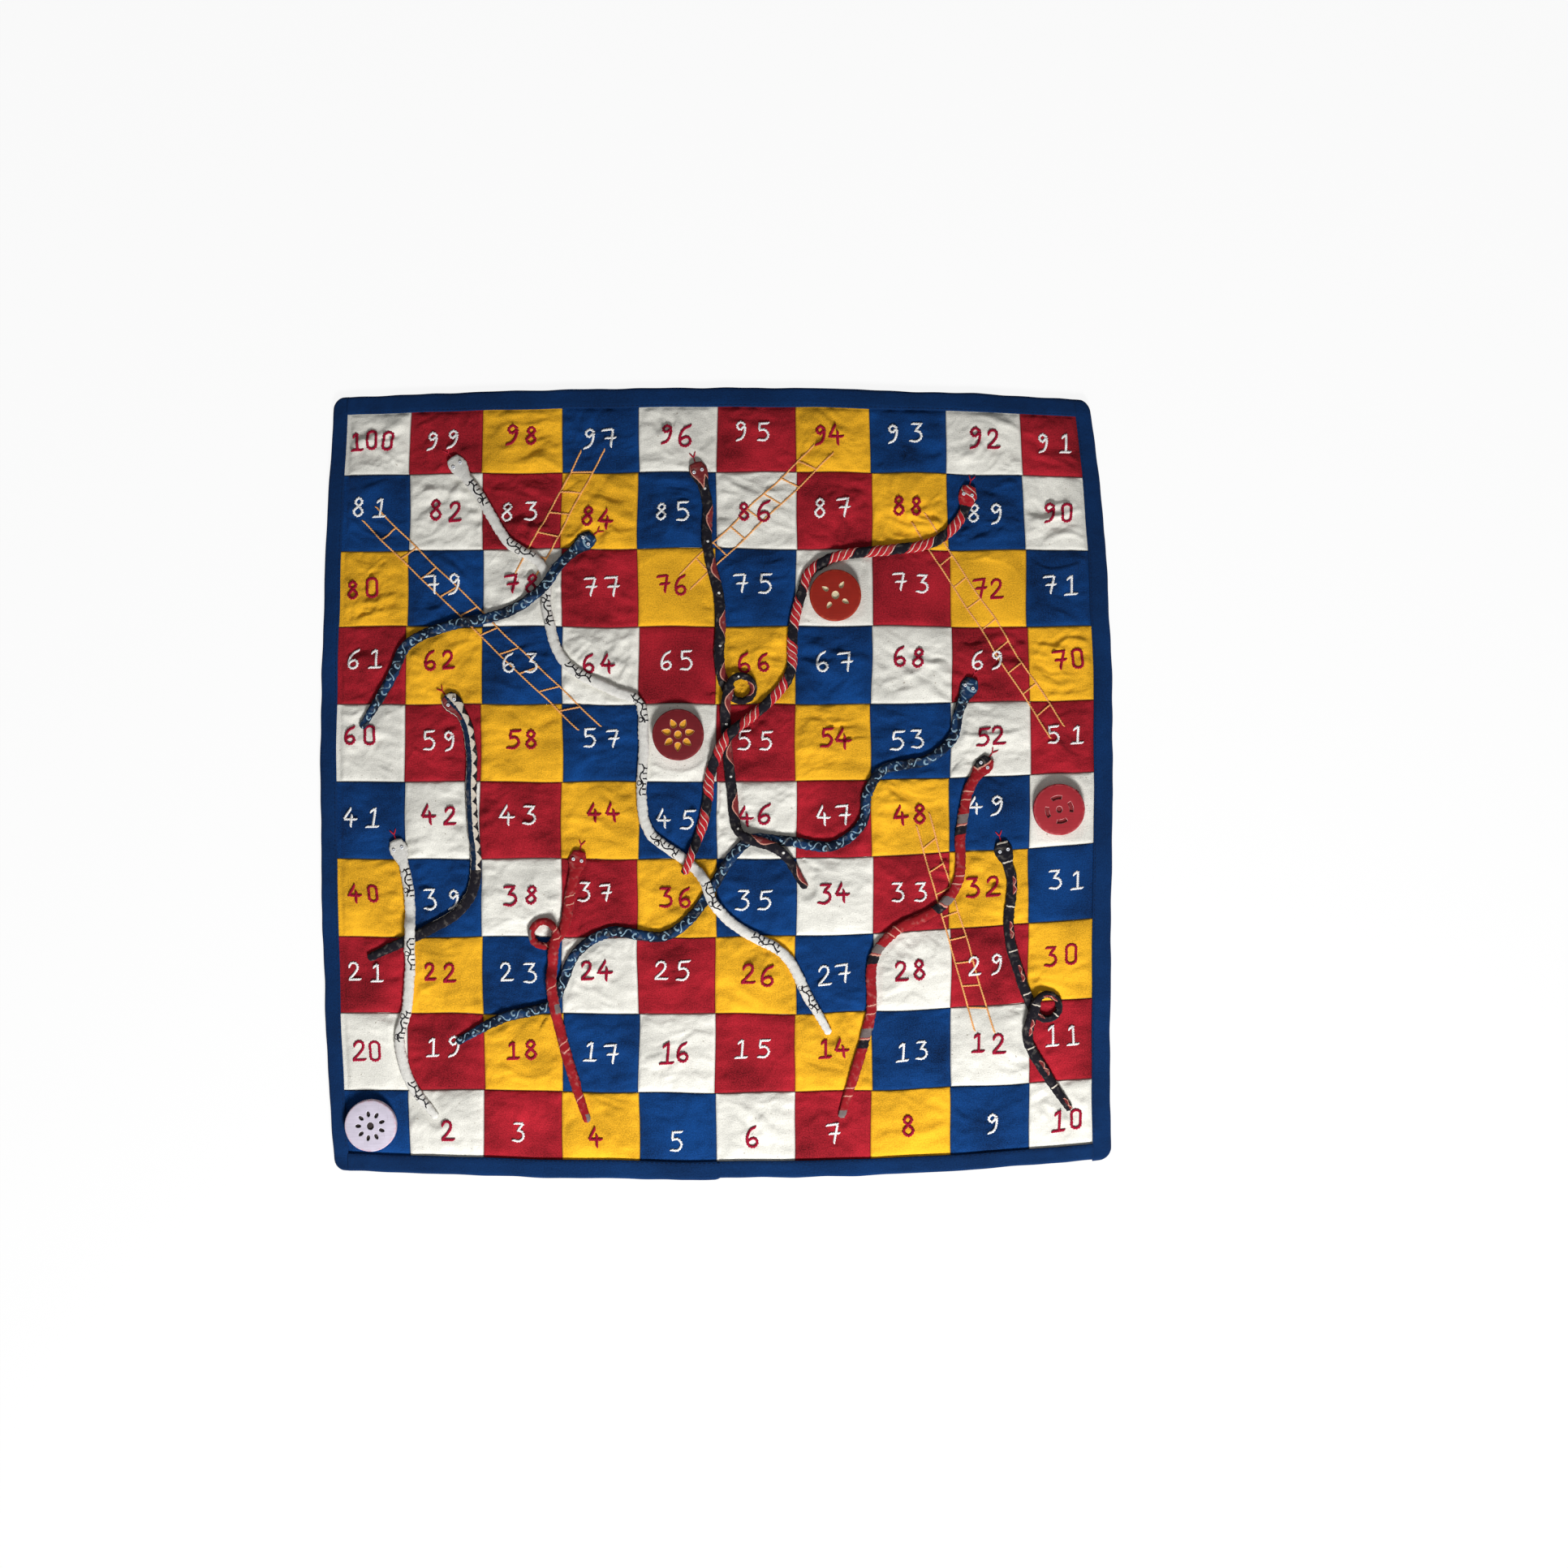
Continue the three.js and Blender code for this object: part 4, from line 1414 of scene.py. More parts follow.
    def length(self, side: Side, cloth: Material) -> None:
        """Make one length of the tape.

        Args:
            side: Which length.
            cloth: Its cloth.
        """
        first, last = self.ends(side)
        wavy = Noise(51 + side.value)

        def place(u: Array, v: Array) -> Array:
            """Return points on the tape's outside."""
            crowded = np.sin((2 * u - 1) * self.crowding) / math.sin(self.crowding)
            along = first + (last - first) * (0.5 + 0.5 * crowded)
            inset, height = self.across(side, along, v)
            edge = self.waver * wavy(along / self.waver_length, 0 * along) * (1 - inset / WIDTHS[side])
            x, y = self.lay.plan(*self.turned(side, along, inset + edge))
            return np.stack([x, y, np.maximum(height, self.lowest)], axis=-1)

        def flat(u: Array, v: Array) -> Array:
            """Return points on the flat tape."""
            return np.stack([u * (last - first), v * (2 * WIDTHS[side] + self.top)], axis=-1)

        name = f"binding_{side.name.lower()}_tape"
        piece = add_piece(name, grid_mesh(name, self.steps, self.section, place, flat), cloth)
        thicken(piece, self.tape)
        FOLD.carry(piece)
        halves = [f"binding_{side.name.lower()}_{half}" for half in ("lower", "upper")]
        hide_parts(*(halves if self.runs_through(side) else [f"binding_{side.name.lower()}"]))

    def stitches(self, side: Side, thread: Material) -> None:
        """Make the line of stitches along one length.

        Args:
            side: Which length.
            thread: The thread.
        """
        reach = self.lay.window - self.stitch_end
        count = int(2 * reach / self.stitch_pitch)
        along = -reach + self.stitch_pitch * (np.arange(count) + 0.5)
        inset = np.full(count, WIDTHS[side] - self.stitch_in)
        steps = (-self.stitch_half, self.stitch_half)
        ends = [self.lay.plan(*self.turned(side, along + step, inset)) for step in steps]
        level = self.top - self.stitch_sunk
        stitches = [
            (Vector((x0, y0, level)), Vector((x1, y1, level)))
            for x0, y0, x1, y1 in zip(*ends[0], *ends[1])
        ]
        name = f"binding_{side.name.lower()}_stitches"
        piece = self.stitcher.straight(name, stitches, SEWING_THREAD, thread)
        FOLD.carry(piece)


@dataclass
class Stitcher:
    """Stitches of thread, laid one by one."""

    lay: Lay
    flatness: float = 0.68
    slant: float = 0.5

    def __post_init__(self) -> None:
        """Make the stitch that is repeated."""
        bm = bmesh.new()
        bmesh.ops.create_uvsphere(bm, u_segments=6, v_segments=5, radius=1)
        self.bar = mesh_of(bm, "straight_stitch")

    def stem(self, name: str, paths: Sequence[Array], radius: float, finish: Material) -> Piece:
        """Sew overlapping slanted stitches along paths on the face, which look like a fine rope.

        Args:
            name: The piece's name.
            paths: Points in plan, one stitch apart.
            radius: The thread's radius.
            finish: The thread.

        Returns:
            The piece.
        """
        stitches = []
        for path in paths:
            level = self.lay.thread_over(path[:, 0], path[:, 1], radius * self.flatness)
            heading = np.gradient(path, axis=0)
            side = np.stack([-heading[:, 1], heading[:, 0]], axis=1)
            side = side / np.linalg.norm(side, axis=1)[:, None] * self.slant * radius
            starts = np.column_stack([path - side, level])
            ends = np.column_stack([path + side, level])
            stitches += [(Vector(a), Vector(b)) for a, b in zip(starts, ends[1:])]
        return self.straight(name, stitches, radius, finish, self.flatness)

    def straight(
        self,
        name: str,
        stitches: Sequence[tuple[Vector, Vector]],
        radius: float,
        finish: Material,
        flatness: float = 1.0,
    ) -> Piece:
        """Sew straight stitches, all in one mesh.

        Args:
            name: The piece's name.
            stitches: The two ends of each stitch.
            radius: The thread's radius.
            finish: The thread.
            flatness: The height of a stitch as a share of its width.

        Returns:
            The piece.
        """
        bm = bmesh.new()
        for start, end in stitches:
            run = end - start
            turn = run.to_track_quat("Z", "Y").to_matrix().to_4x4()
            size = Matrix.Diagonal((radius, radius * flatness, run.length / 2 + radius, 1))
            place = Matrix.Translation((start + end) / 2) @ turn @ size
            self.bar.transform(place)
            bm.from_mesh(self.bar)
            self.bar.transform(place.inverted())
        return add_piece(name, mesh_of(bm, name), finish)


@dataclass(frozen=True)
class Stroke:
    """One stroke of a stitched digit, in shares of its height."""

    points: tuple[Plan, ...]
    straight: bool = False


DIGITS: dict[str, tuple[Stroke, ...]] = {
    "0": (
        Stroke((
            (-0.24, 0.5), (-0.23, 0.88), (0.0, 1.0), (0.23, 0.9), (0.25, 0.5), (0.22, 0.1), (0.0, 0.0),
            (-0.22, 0.1), (-0.24, 0.45),
        )),
    ),
    "1": (
        Stroke(((-0.2, 0.8), (0.06, 1.0), (0.06, 0.02)), True),
        Stroke(((-0.3, 0.0), (0.36, 0.02)), True),
    ),
    "2": (
        Stroke(((-0.28, 0.74), (-0.1, 0.97), (0.16, 0.94), (0.22, 0.68), (0.02, 0.36), (-0.3, 0.03))),
        Stroke(((-0.26, 0.02), (0.38, 0.04)), True),
    ),
    "3": (
        Stroke(((-0.28, 0.98), (0.24, 0.98), (-0.06, 0.6)), True),
        Stroke(((-0.06, 0.6), (0.22, 0.5), (0.3, 0.22), (0.06, 0.0), (-0.3, 0.06))),
    ),
    "4": (
        Stroke(((0.0, 1.0), (-0.34, 0.36), (0.4, 0.36)), True),
        Stroke(((0.1, 0.62), (0.1, -0.06)), True),
    ),
    "5": (
        Stroke(((0.34, 1.0), (-0.18, 0.97), (-0.22, 0.58)), True),
        Stroke(((-0.2, 0.58), (0.1, 0.62), (0.3, 0.34), (0.1, 0.03), (-0.3, 0.04))),
    ),
    "6": (
        Stroke((
            (0.22, 0.98), (-0.08, 0.82), (-0.25, 0.4), (-0.16, 0.06), (0.1, 0.0), (0.27, 0.2), (0.14, 0.42),
            (-0.1, 0.38), (-0.22, 0.26),
        )),
    ),
    "7": (
        Stroke(((-0.36, 0.92), (0.26, 0.98), (0.06, 0.0)), True),
        Stroke(((-0.2, 0.48), (0.38, 0.5)), True),
    ),
    "8": (
        Stroke((
            (0.02, 0.54), (-0.2, 0.76), (0.0, 0.99), (0.2, 0.78), (0.0, 0.54), (-0.25, 0.24), (0.0, 0.0),
            (0.25, 0.24), (0.04, 0.52),
        )),
    ),
    "9": (
        Stroke((
            (0.2, 0.86), (0.0, 1.0), (-0.22, 0.8), (-0.04, 0.58), (0.2, 0.8), (0.19, 0.42), (0.02, 0.1),
            (-0.26, 0.0),
        )),
    ),
}


@dataclass
class Numbers:
    """The hundred stitched numbers, up the board row by row and back and forth."""

    lay: Lay
    stitcher: Stitcher
    height: float = 11.8 * MM
    wide: float = 14.4 * MM
    close: float = 12 * MM
    crowded: float = 10.4 * MM
    scatter: float = 1.6 * MM
    stitch: float = 1.5 * MM
    pale_thread: float = 0.7 * MM
    deep_thread: float = 0.8 * MM
    lift: tuple[float, ...] = (0.0, 1.6, 2.0, 1.4, 3.6, 3.4, 2.2, 1.0, -0.6, -0.4)
    left: float = 1.4 * MM
    spacing_spread: float = 0.06
    lean: float = 0.03
    lean_spread: float = 0.06
    size_spread: float = 0.05
    level_spread: float = 0.5 * MM

    def build(self) -> None:
        """Make the numbers of each row, in pale and in red thread. Their lift is in millimetres."""
        threads = {
            True: (self.pale_thread, Thread("white_thread", srgb(250, 249, 246)).material()),
            False: (self.deep_thread, Thread("crimson_thread", srgb(160, 15, 50)).material()),
        }
        draws = np.random.default_rng(7)
        for row in range(self.lay.per_side):
            paths: dict[bool, list[Array]] = {True: [], False: []}
            for column in range(self.lay.per_side):
                dye = Dye((column - (self.lay.per_side - 1 - row)) % len(Dye))
                is_pale = dye in (Dye.BLUE, Dye.RED)
                paths[is_pale] += self.number(row, column, self.wide if is_pale else self.close, draws)
            for is_pale, strokes in paths.items():
                name = f"numbers_{row + 1:02d}_{'white' if is_pale else 'crimson'}"
                FOLD.carry(self.stitcher.stem(name, strokes, *threads[is_pale]))

    def number(self, row: int, column: int, spacing: float, draws: np.random.Generator) -> list[Array]:
        """Return the stitched paths of one square's number.

        Args:
            row, column: The square, from the bottom left.
            spacing: The distance between two digits.
            draws: Where the hand's unevenness comes from.

        Returns:
            Points in plan, one stitch apart, for each stroke.
        """
        count, pitch = self.lay.per_side, self.lay.pitch
        text = str(row * count + (column if row % 2 == 0 else count - 1 - column) + 1)
        step = self.crowded if len(text) > 2 else spacing * draws.normal(1, self.spacing_spread)
        shift = draws.normal(0, self.scatter, 2)
        middle = ((column + 0.5 - count / 2) * pitch, (row + 0.5 - count / 2) * pitch)
        paths = []
        for place, digit in enumerate(text):
            tilt = draws.normal(self.lean, self.lean_spread)
            size = self.height * draws.normal(1, self.size_spread)
            x0 = middle[0] - self.left + shift[0] + (place - (len(text) - 1) / 2) * step
            y0 = middle[1] + self.lift[row] * MM + shift[1] - size / 2 + draws.normal(0, self.level_spread)
            for stroke in DIGITS[digit]:
                points = [(x + tilt * y, y) for x, y in stroke.points]
                sized = [(x * size, y * size) for x, y in points]
                route = smooth_route(sized, self.stitch, stroke.straight)
                paths.append(np.stack(self.lay.plan(x0 + route[:, 0], y0 + route[:, 1]), axis=1))
        return paths


@dataclass(frozen=True)
class Ladder:
    """A stitched ladder: two rails from the upper square to the lower one, and its rungs."""

    name: str
    rungs: int
    left: tuple[Plan, Plan]
    right: tuple[Plan, Plan]


@dataclass
class Ladders:
    """The five ladders of orange stitches. Their ends are given in millimetres."""

    lay: Lay
    stitcher: Stitcher
    wobble: float = 0.9 * MM
    wobble_length: float = 30 * MM
    thread: float = 0.54 * MM
    stitch: float = 1.9 * MM
    ladders: tuple[Ladder, ...] = (
        Ladder("ladder_78_97", 5, ((-87, 213), (-130, 134)), ((-72, 214), (-118, 130))),
        Ladder("ladder_57_81", 10, ((-229, 168), (-89, 33)), ((-220, 177), (-75, 35))),
        Ladder("ladder_76_94", 7, ((63, 217), (-24, 133)), ((76, 212), (-17, 124))),
        Ladder("ladder_51_88", 9, ((126, 167), (215, 28)), ((134, 173), (224, 36))),
        Ladder("ladder_12_48", 8, ((129, -29), (166, -161)), ((137, -21), (179, -162))),
    )

    def build(self) -> None:
        """Make the ladders."""
        thread = Thread("orange_thread", srgb(242, 172, 104)).material()
        sway = Noise(61)
        for ladder in self.ladders:
            rails = [np.array(rail) * MM for rail in (ladder.left, ladder.right)]
            shares = (np.arange(ladder.rungs) + 1) / (ladder.rungs + 1)
            bars = [*rails]
            for share in shares:
                bars.append(np.array([start + (end - start) * share for start, end in rails]))
            paths = []
            for bar in bars:
                path = smooth_route(bar, self.stitch, True)
                x, y = path.T / self.wobble_length
                offset = [sway(x + k, y) for k in (0, 9)]
                paths.append(path + self.wobble * np.stack(offset, axis=1))
            piece = self.stitcher.stem(f"{ladder.name}_stitches", paths, self.thread, thread)
            FOLD.carry(piece)
            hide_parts(ladder.name)


SNAKE_STEP = 1.5 * MM
SEWING = {
    Print.INDIGO: srgb(10, 24, 44),
    Print.ZIGZAG: srgb(18, 18, 26),
    Print.WHITE: srgb(176, 172, 166),
    Print.BARRED: srgb(16, 15, 20),
    Print.STRIPED: srgb(40, 14, 20),
    Print.RED: srgb(84, 12, 20),
    Print.BANDED: srgb(84, 12, 20),
    Print.BLACK: srgb(14, 13, 18),
}


def curl(x: float, y: float, start: float, turn: float, radius: float = 8) -> list[Plan]:
    """Return points of one turn of a snake round a loop, in millimetres.

    Args:
        x, y: The middle of the loop.
        start: The angle where it starts, in degrees.
        turn: How far it turns, in degrees.
        radius: The loop's radius at the middle of the snake's body.

    Returns:
        The points.
    """
    angles = [math.radians(start + turn * i / 8) for i in range(9)]
    return [(x + radius * math.cos(a), y + radius * math.sin(a)) for a in angles]


@dataclass
class Snake:
    """A stuffed cloth snake: its route, widths and heights in millimetres from snout to tail."""

    name: str
    motif: Print
    slot: str
    route: Sequence[Plan]
    swell: float = 1.0
    head: tuple[float, ...] = (0, 2.5 * MM, 6.5 * MM, 9.5 * MM, 16 * MM)
    tail: float = 34 * MM
    widths: tuple[float, ...] = (7.2, 9.8, 12.6, 11.6, 7.1, 7.2, 5.2)
    heights: tuple[float, ...] = (2.4, 2.7, 3, 3.1, 3.8, 3.8, 2.4)
    tight: Plan = (60, 120)
    narrowing: float = 0.28

    def follow(self) -> None:
        """Work out the snake's middle line, headings and sizes at even steps."""
        self.line = smooth_route([(x * MM, y * MM) for x, y in self.route], SNAKE_STEP)
        steps = np.linalg.norm(np.diff(self.line, axis=0), axis=1)
        self.along = np.concatenate([[0], np.cumsum(steps)])
        heading = np.gradient(self.line, axis=0)
        self.heading = heading / np.linalg.norm(heading, axis=1)[:, None]
        length = self.along[-1]
        marks = np.array([*self.head, length - self.tail, length])
        self.width = np.interp(self.along, marks, np.array(self.widths) * MM) * self.swell
        angle = np.unwrap(np.arctan2(self.heading[:, 1], self.heading[:, 0]))
        self.turn = np.gradient(angle, self.along)
        self.width = self.width * (1 - self.narrowing * ease(abs(self.turn), *self.tight))
        self.height = np.interp(self.along, marks, np.array(self.heights) * MM)
        self.lift = np.zeros(len(self.line))


@dataclass
class Snakes:
    """The ten snakes, in the order in which they were sewn on: a later one passes over."""

    lay: Lay
    stitcher: Stitcher
    around: int = 24
    ring: float = 1.1 * MM
    hump: float = 10 * MM
    least_loop: float = 22 * MM
    touch: float = 0.4 * MM
    snout: float = 1.3 * MM
    tail_end: float = 2.2 * MM
    squareness: float = 0.85
    widest: float = 0.42
    crown: float = 0.9
    foot: float = 0.5
    girth: float = 20 * MM
    sway: float = 0.35 * MM
    sway_length: float = 17 * MM
    inner_turn: float = 12 * MM
    pucker: float = 0.55 * MM
    pucker_length: float = 3.4 * MM
    pucker_width: float = 0.22
    crease: float = 0.3 * MM
    crease_length: float = 6 * MM
    top_share: float = 0.6
    bead: float = 1.15 * MM
    bead_lift: float = 0.15 * MM
    hole_lift: float = 0.12 * MM
    eye_back: float = 6.6 * MM
    eye_side: float = 2.7 * MM
    sewn_from: float = 10 * MM
    sewn_to: float = 3 * MM
    sewn_pitch: float = 3.8 * MM
    sewn_in: float = 0.74
    sewn_foot: float = 0.45 * MM
    sewn_up: float = 0.2
    dent: float = 0.3 * MM
    dent_length: float = 0.8 * MM
    tongue_in: float = 1.5 * MM
    tongue_length: float = 4.4 * MM
    tongue_lift: float = 0.35 * MM
    tongue_thread: float = 0.5 * MM
    fork_length: float = 3.2 * MM
    fork_sides: Plan = (-2.1 * MM, 1.8 * MM)
    snakes: tuple[Snake, ...] = (
        Snake("indigo_long", Print.INDIGO, "snake_indigo", (
            (165, 67), (156, 45), (152, 28), (135, 14), (107, 7), (97, -8), (94, -26), (76, -41), (42, -38),
            (24, -37), (12, -46), (-9, -78), (-22, -93), (-36, -100), (-69, -97), (-90, -110), (-99, -129),
            (-106, -143), (-137, -152), (-168, -168),
        )),
        Snake("zigzag", Print.ZIGZAG, "snake_zigzag", (
            (-175, 56), (-163, 41), (-158, 20), (-158, -15), (-155, -51), (-157, -70), (-168, -85),
            (-191, -98), (-225, -114),
        ), 1.06),
        Snake("white_long", Print.WHITE, "snake_white", (
            (-171, 209), (-150, 180), (-135, 155), (-112, 138), (-109, 107), (-97, 76), (-67, 59),
            (-50, 51), (-47, 29), (-48, -15), (-43, -33), (-20, -51), (-8, -63), (-2, -78), (12, -93),
            (44, -112), (58, -137), (73, -163),
        )),
        Snake("barred", Print.BARRED, "snake_barred", (
            (-14, 206), (-6, 180), (-6, 152), (2, 115), (2, 76), (4.5, 64), *curl(16, 60, -130, 310),
            (6, 48), (6, 32), (10, -6), (15, -33), (40, -44), (58, -69),
        )),
        Snake("indigo_short", Print.INDIGO, "snake_indigo", (
            (-79, 159), (-98, 143), (-114, 122), (-138, 108), (-173, 100), (-199, 88), (-211, 64),
            (-229, 34),
        )),
        Snake("striped", Print.STRIPED, "snake_striped", (
            (163, 191), (157, 169), (139, 154), (110, 149), (82, 146), (61, 136), (54, 119), (49, 96),
            (47, 69), (29, 47), (8, 30), (-3, 8), (-8, -24), (-21, -60),
        )),
        Snake("white_short", Print.WHITE, "snake_white", (
            (-207, -37), (-199, -64), (-197, -107), (-199, -143), (-204, -168), (-197, -194), (-180, -217),
        )),
        Snake("red", Print.RED, "snake_red", (
            (-88, -44), (-94, -71), (-98, -93), *curl(-111, -98, -50, -310), (-105, -111), (-106, -129),
            (-100, -163), (-83, -220),
        )),
        Snake("red_banded", Print.BANDED, "snake_red", (
            (176, 16), (163, -4), (157, -35), (156, -62), (145, -80), (114, -97), (101, -114), (99, -150),
            (80, -217),
        )),
        Snake("black", Print.BLACK, "snake_black", (
            (183, -38), (190, -65), (188, -96), (196, -127), (201, -140), *curl(212.5, -145, -130, 310),
            (201, -157), (201, -168), (212, -188), (228, -212),
        )),
    )

    def follow(self) -> list[Array]:
        """Lay the snakes over each other, and return their middle lines."""
        laid: list[Array] = []
        for snake in self.snakes:
            snake.follow()
            self.lay_over(snake, laid)
        return [snake.line for snake in self.snakes]

    def lay_over(self, snake: Snake, laid: list[Array]) -> None:
        """Raise a snake over what was sewn on before it, and over its own loop.

        Args:
            snake: The snake, which gets its lift.
            laid: Rows of x, y, width and top of what lies there, to which the snake is added.
        """
        below = np.vstack(laid) if laid else np.zeros((0, 4))
        need = np.zeros(len(snake.line))
        for i, (x, y) in enumerate(snake.line):
            own = snake.along[i] - snake.along[:i] > self.least_loop
            tops = need[:i] + snake.height[:i]
            mine = np.column_stack([snake.line[:i], snake.width[:i], tops])[own]
            spots = np.vstack([below, mine])
            gap = np.hypot(spots[:, 0] - x, spots[:, 1] - y) - (spots[:, 2] + snake.width[i]) / 2
            under = spots[gap < -self.touch]
            need[i] = max(under[:, 3], default=0.0)
        apart = np.clip(abs(snake.along[:, None] - snake.along[None, :]) / self.hump, 0, 1)
        snake.lift = (need[None, :] * np.cos(apart * math.pi / 2) ** 2).max(axis=1)
        laid.append(np.column_stack([snake.line, snake.width, snake.lift + snake.height]))

    def build(self) -> None:
        """Make every snake with its eyes and its tongue."""
        cloths = {motif: PrintedCotton(motif).material() for motif in Print}
        sewing = {motif: Thread(f"{motif.value}_sewing", SEWING[motif]).material() for motif in Print}
        bead = GlassBead().material()
        # Painted shade: a dark disc in each bead's opening.
        hole_shade = MottledFill("bead_hole_shade", srgb(20, 18, 24)).material()
        tongue = Thread("tongue_thread", srgb(176, 34, 54)).material()
        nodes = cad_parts
        for number, snake in enumerate(self.snakes):
            piece = self.body(snake, number, cloths[snake.motif])
            FOLD.carry(piece)
            own = [f"snake_{snake.name}{half}" for half in ("", "_lower", "_upper")]
            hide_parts(*[name for name in own if name in nodes])
            FOLD.carry(self.sewing(snake, sewing[snake.motif]))
            FOLD.carry(self.eyes(snake, bead, hole_shade))
            FOLD.carry(self.tongue(snake, tongue))

    def body(self, snake: Snake, number: int, cloth: Material) -> Piece:
        """Make a snake's stuffed body.

        Args:
            snake: The snake.
            number: Its number, which sets its wrinkles.
            cloth: Its cloth.

        Returns:
            The piece.
        """
        noises = [Noise(100 + 3 * number + k) for k in range(3)]
        length = snake.along[-1]

        def at(along: Array, values: Array) -> Array:
            """Return values of the snake at lengths along it."""
            return np.interp(along, snake.along, values)

        def place(u: Array, v: Array) -> Array:
            """Return points on the body for shares of its length and of the way round it."""
            along = u * length
            angle = FULL_TURN * v - math.pi / 2
            cos, sin = np.cos(angle), np.sin(angle)
            close = np.minimum(along / self.snout, (length - along) / self.tail_end)
            rounded = np.sqrt(1 - (1 - np.clip(close, 0, 1)) ** 2)
            half = at(along, snake.width) / 2 * rounded
            tall = at(along, snake.height) * rounded
            inside = np.clip(at(along, snake.turn) * cos * self.inner_turn, 0, 1)
            pucker = noises[0](along / self.pucker_length, v * 3 + 20)
            pucker = np.exp(-((pucker / self.pucker_width) ** 2)) * (0.6 + 0.8 * inside)
            crease = noises[1](along / self.crease_length + 2 * v, v * 7)
            slack = self.crease * crease - self.pucker * pucker
            stitch = (along - self.sewn_from) / self.sewn_pitch
            off_stitch = (stitch - np.round(stitch)) * self.sewn_pitch
            dent = np.exp(-((off_stitch / self.dent_length) ** 2)) * abs(cos) ** 3
            out = half + (slack - self.dent * dent) * rounded
            wide = np.sign(cos) * abs(cos) ** self.squareness * out
            above = self.widest + (1 - self.widest) * abs(sin) ** self.crown
            below = self.widest - self.widest * abs(sin) ** self.foot
            raised = np.where(sin > 0, above, below)
            sway = self.sway * noises[2](along / self.sway_length, 0 * along) * rounded
            x = at(along, snake.line[:, 0]) - at(along, snake.heading[:, 1]) * (wide + sway)
            y = at(along, snake.line[:, 1]) + at(along, snake.heading[:, 0]) * (wide + sway)
            level = self.lay.sewn - self.lay.sunk + at(along, snake.lift)
            level = level + raised * tall + self.top_share * slack * np.maximum(sin, 0)
            return np.stack([x, y, level], axis=-1)

        def flat(u: Array, v: Array) -> Array:
            """Return distances along the body, and round it from the middle of its top."""
            return np.stack([u * length, (0.5 - v) * self.girth], axis=-1)

        name = f"snake_body_{snake.name}"
        mesh = grid_mesh(name, round(length / self.ring), self.around, place, flat)
        close_mesh(mesh)
        return add_piece(name, mesh, cloth)

    def spot(self, snake: Snake, back: float, side: float) -> Vector:
        """Return a point on top of a snake.

        Args:
            snake: The snake.
            back: The distance from its snout.
            side: The distance to one side of its middle line.

        Returns:
            The point.
        """
        parts = [np.interp(back, snake.along, snake.line[:, k]) for k in (0, 1)]
        ahead = [np.interp(back, snake.along, snake.heading[:, k]) for k in (0, 1)]
        tall = np.interp(back, snake.along, snake.height + snake.lift)
        half = np.interp(back, snake.along, snake.width) / 2
        steep = math.sqrt(max(0.0, 1 - (side / half) ** 2))
        raised = self.widest + (1 - self.widest) * steep**self.crown
        level = self.lay.sewn - self.lay.sunk + tall * raised
        return Vector((parts[0] - ahead[1] * side, parts[1] + ahead[0] * side, level))

    def sewing(self, snake: Snake, thread: Material) -> Piece:
        """Make the small stitches that hold a snake down on both sides.

        Args:
            snake: The snake.
            thread: The thread.

        Returns:
            The piece.
        """
        stitches = []
        sizes = (snake.width / 2, snake.height, snake.lift)
        for back in np.arange(self.sewn_from, snake.along[-1] - self.sewn_to, self.sewn_pitch):
            half, tall, lift = [float(np.interp(back, snake.along, values)) for values in sizes]
            for sign in (-1, 1):
                foot = self.spot(snake, back, sign * (half - self.sewn_foot))
                foot.z = self.lay.sewn - self.lay.sunk + lift + self.sewn_up * tall
                stitches.append((foot, self.spot(snake, back, sign * self.sewn_in * half)))
        return self.stitcher.straight(f"sewing_{snake.name}", stitches, SEWING_THREAD, thread)

    def eyes(self, snake: Snake, bead: Material, hole_shade: Material) -> Piece:
        """Make a snake's two bead eyes.

        Args:
            snake: The snake.
            bead: The beads' glass.
            hole_shade: The dark disc in each bead's opening, which is painted shade.

        Returns:
            The piece.
        """
        bm = bmesh.new()
        for side in (-self.eye_side, self.eye_side):
            at = self.spot(snake, self.eye_back, side) + UP * self.bead_lift
            ring = Matrix.Translation(at + Vector((0.62 * self.bead, 0, 0)))
            tube = ring @ Matrix.Rotation(math.pi / 2, 4, "X")
            made = bmesh.ops.create_circle(bm, segments=10, radius=0.42 * self.bead, matrix=tube)
            edges = list({edge for vertex in made["verts"] for edge in vertex.link_edges})
            shape = [*made["verts"], *edges]
            bmesh.ops.spin(bm, geom=shape, cent=at, axis=UP, angle=FULL_TURN, steps=16, use_merge=True)
            # A dark disc in the bead's opening, as painted shade.
            plug = Matrix.Translation(at + UP * self.hole_lift)
            radius = 0.4 * self.bead
            bmesh.ops.create_circle(bm, cap_ends=True, segments=12, radius=radius, matrix=plug)
        bmesh.ops.remove_doubles(bm, verts=bm.verts, dist=TOUCHING)
        bmesh.ops.recalc_face_normals(bm, faces=bm.faces)
        for face in bm.faces:
            face.material_index = 1 if len(face.verts) > 4 else 0
        name = f"eyes_{snake.name}"
        return add_piece(name, mesh_of(bm, name), bead, hole_shade)

    def tongue(self, snake: Snake, thread: Material) -> Piece:
        """Make a snake's forked tongue of straight stitches.

        Args:
            snake: The snake.
            thread: The thread.

        Returns:
            The piece.
        """
        ahead = Vector((*-snake.heading[0], 0))
        side = UP.cross(ahead)
        start = Vector((*snake.line[0], 0)) - ahead * self.tongue_in
        fork = start + ahead * self.tongue_length
        tips = [fork + ahead * self.fork_length + side * reach for reach in self.fork_sides]
        for point in (start, fork, *tips):
            face = self.lay.over(np.array([point.x]), np.array([point.y]))
            point.z = float(face[0]) + self.tongue_lift
        stitches = [(start, fork), *((fork, tip) for tip in tips)]
        return self.stitcher.straight(f"tongue_{snake.name}", stitches, self.tongue_thread, thread)


class Well(Enum):
    """The two shapes of a counter's carved slots."""

    TEARDROP = "teardrop"
    CRESCENT = "crescent"


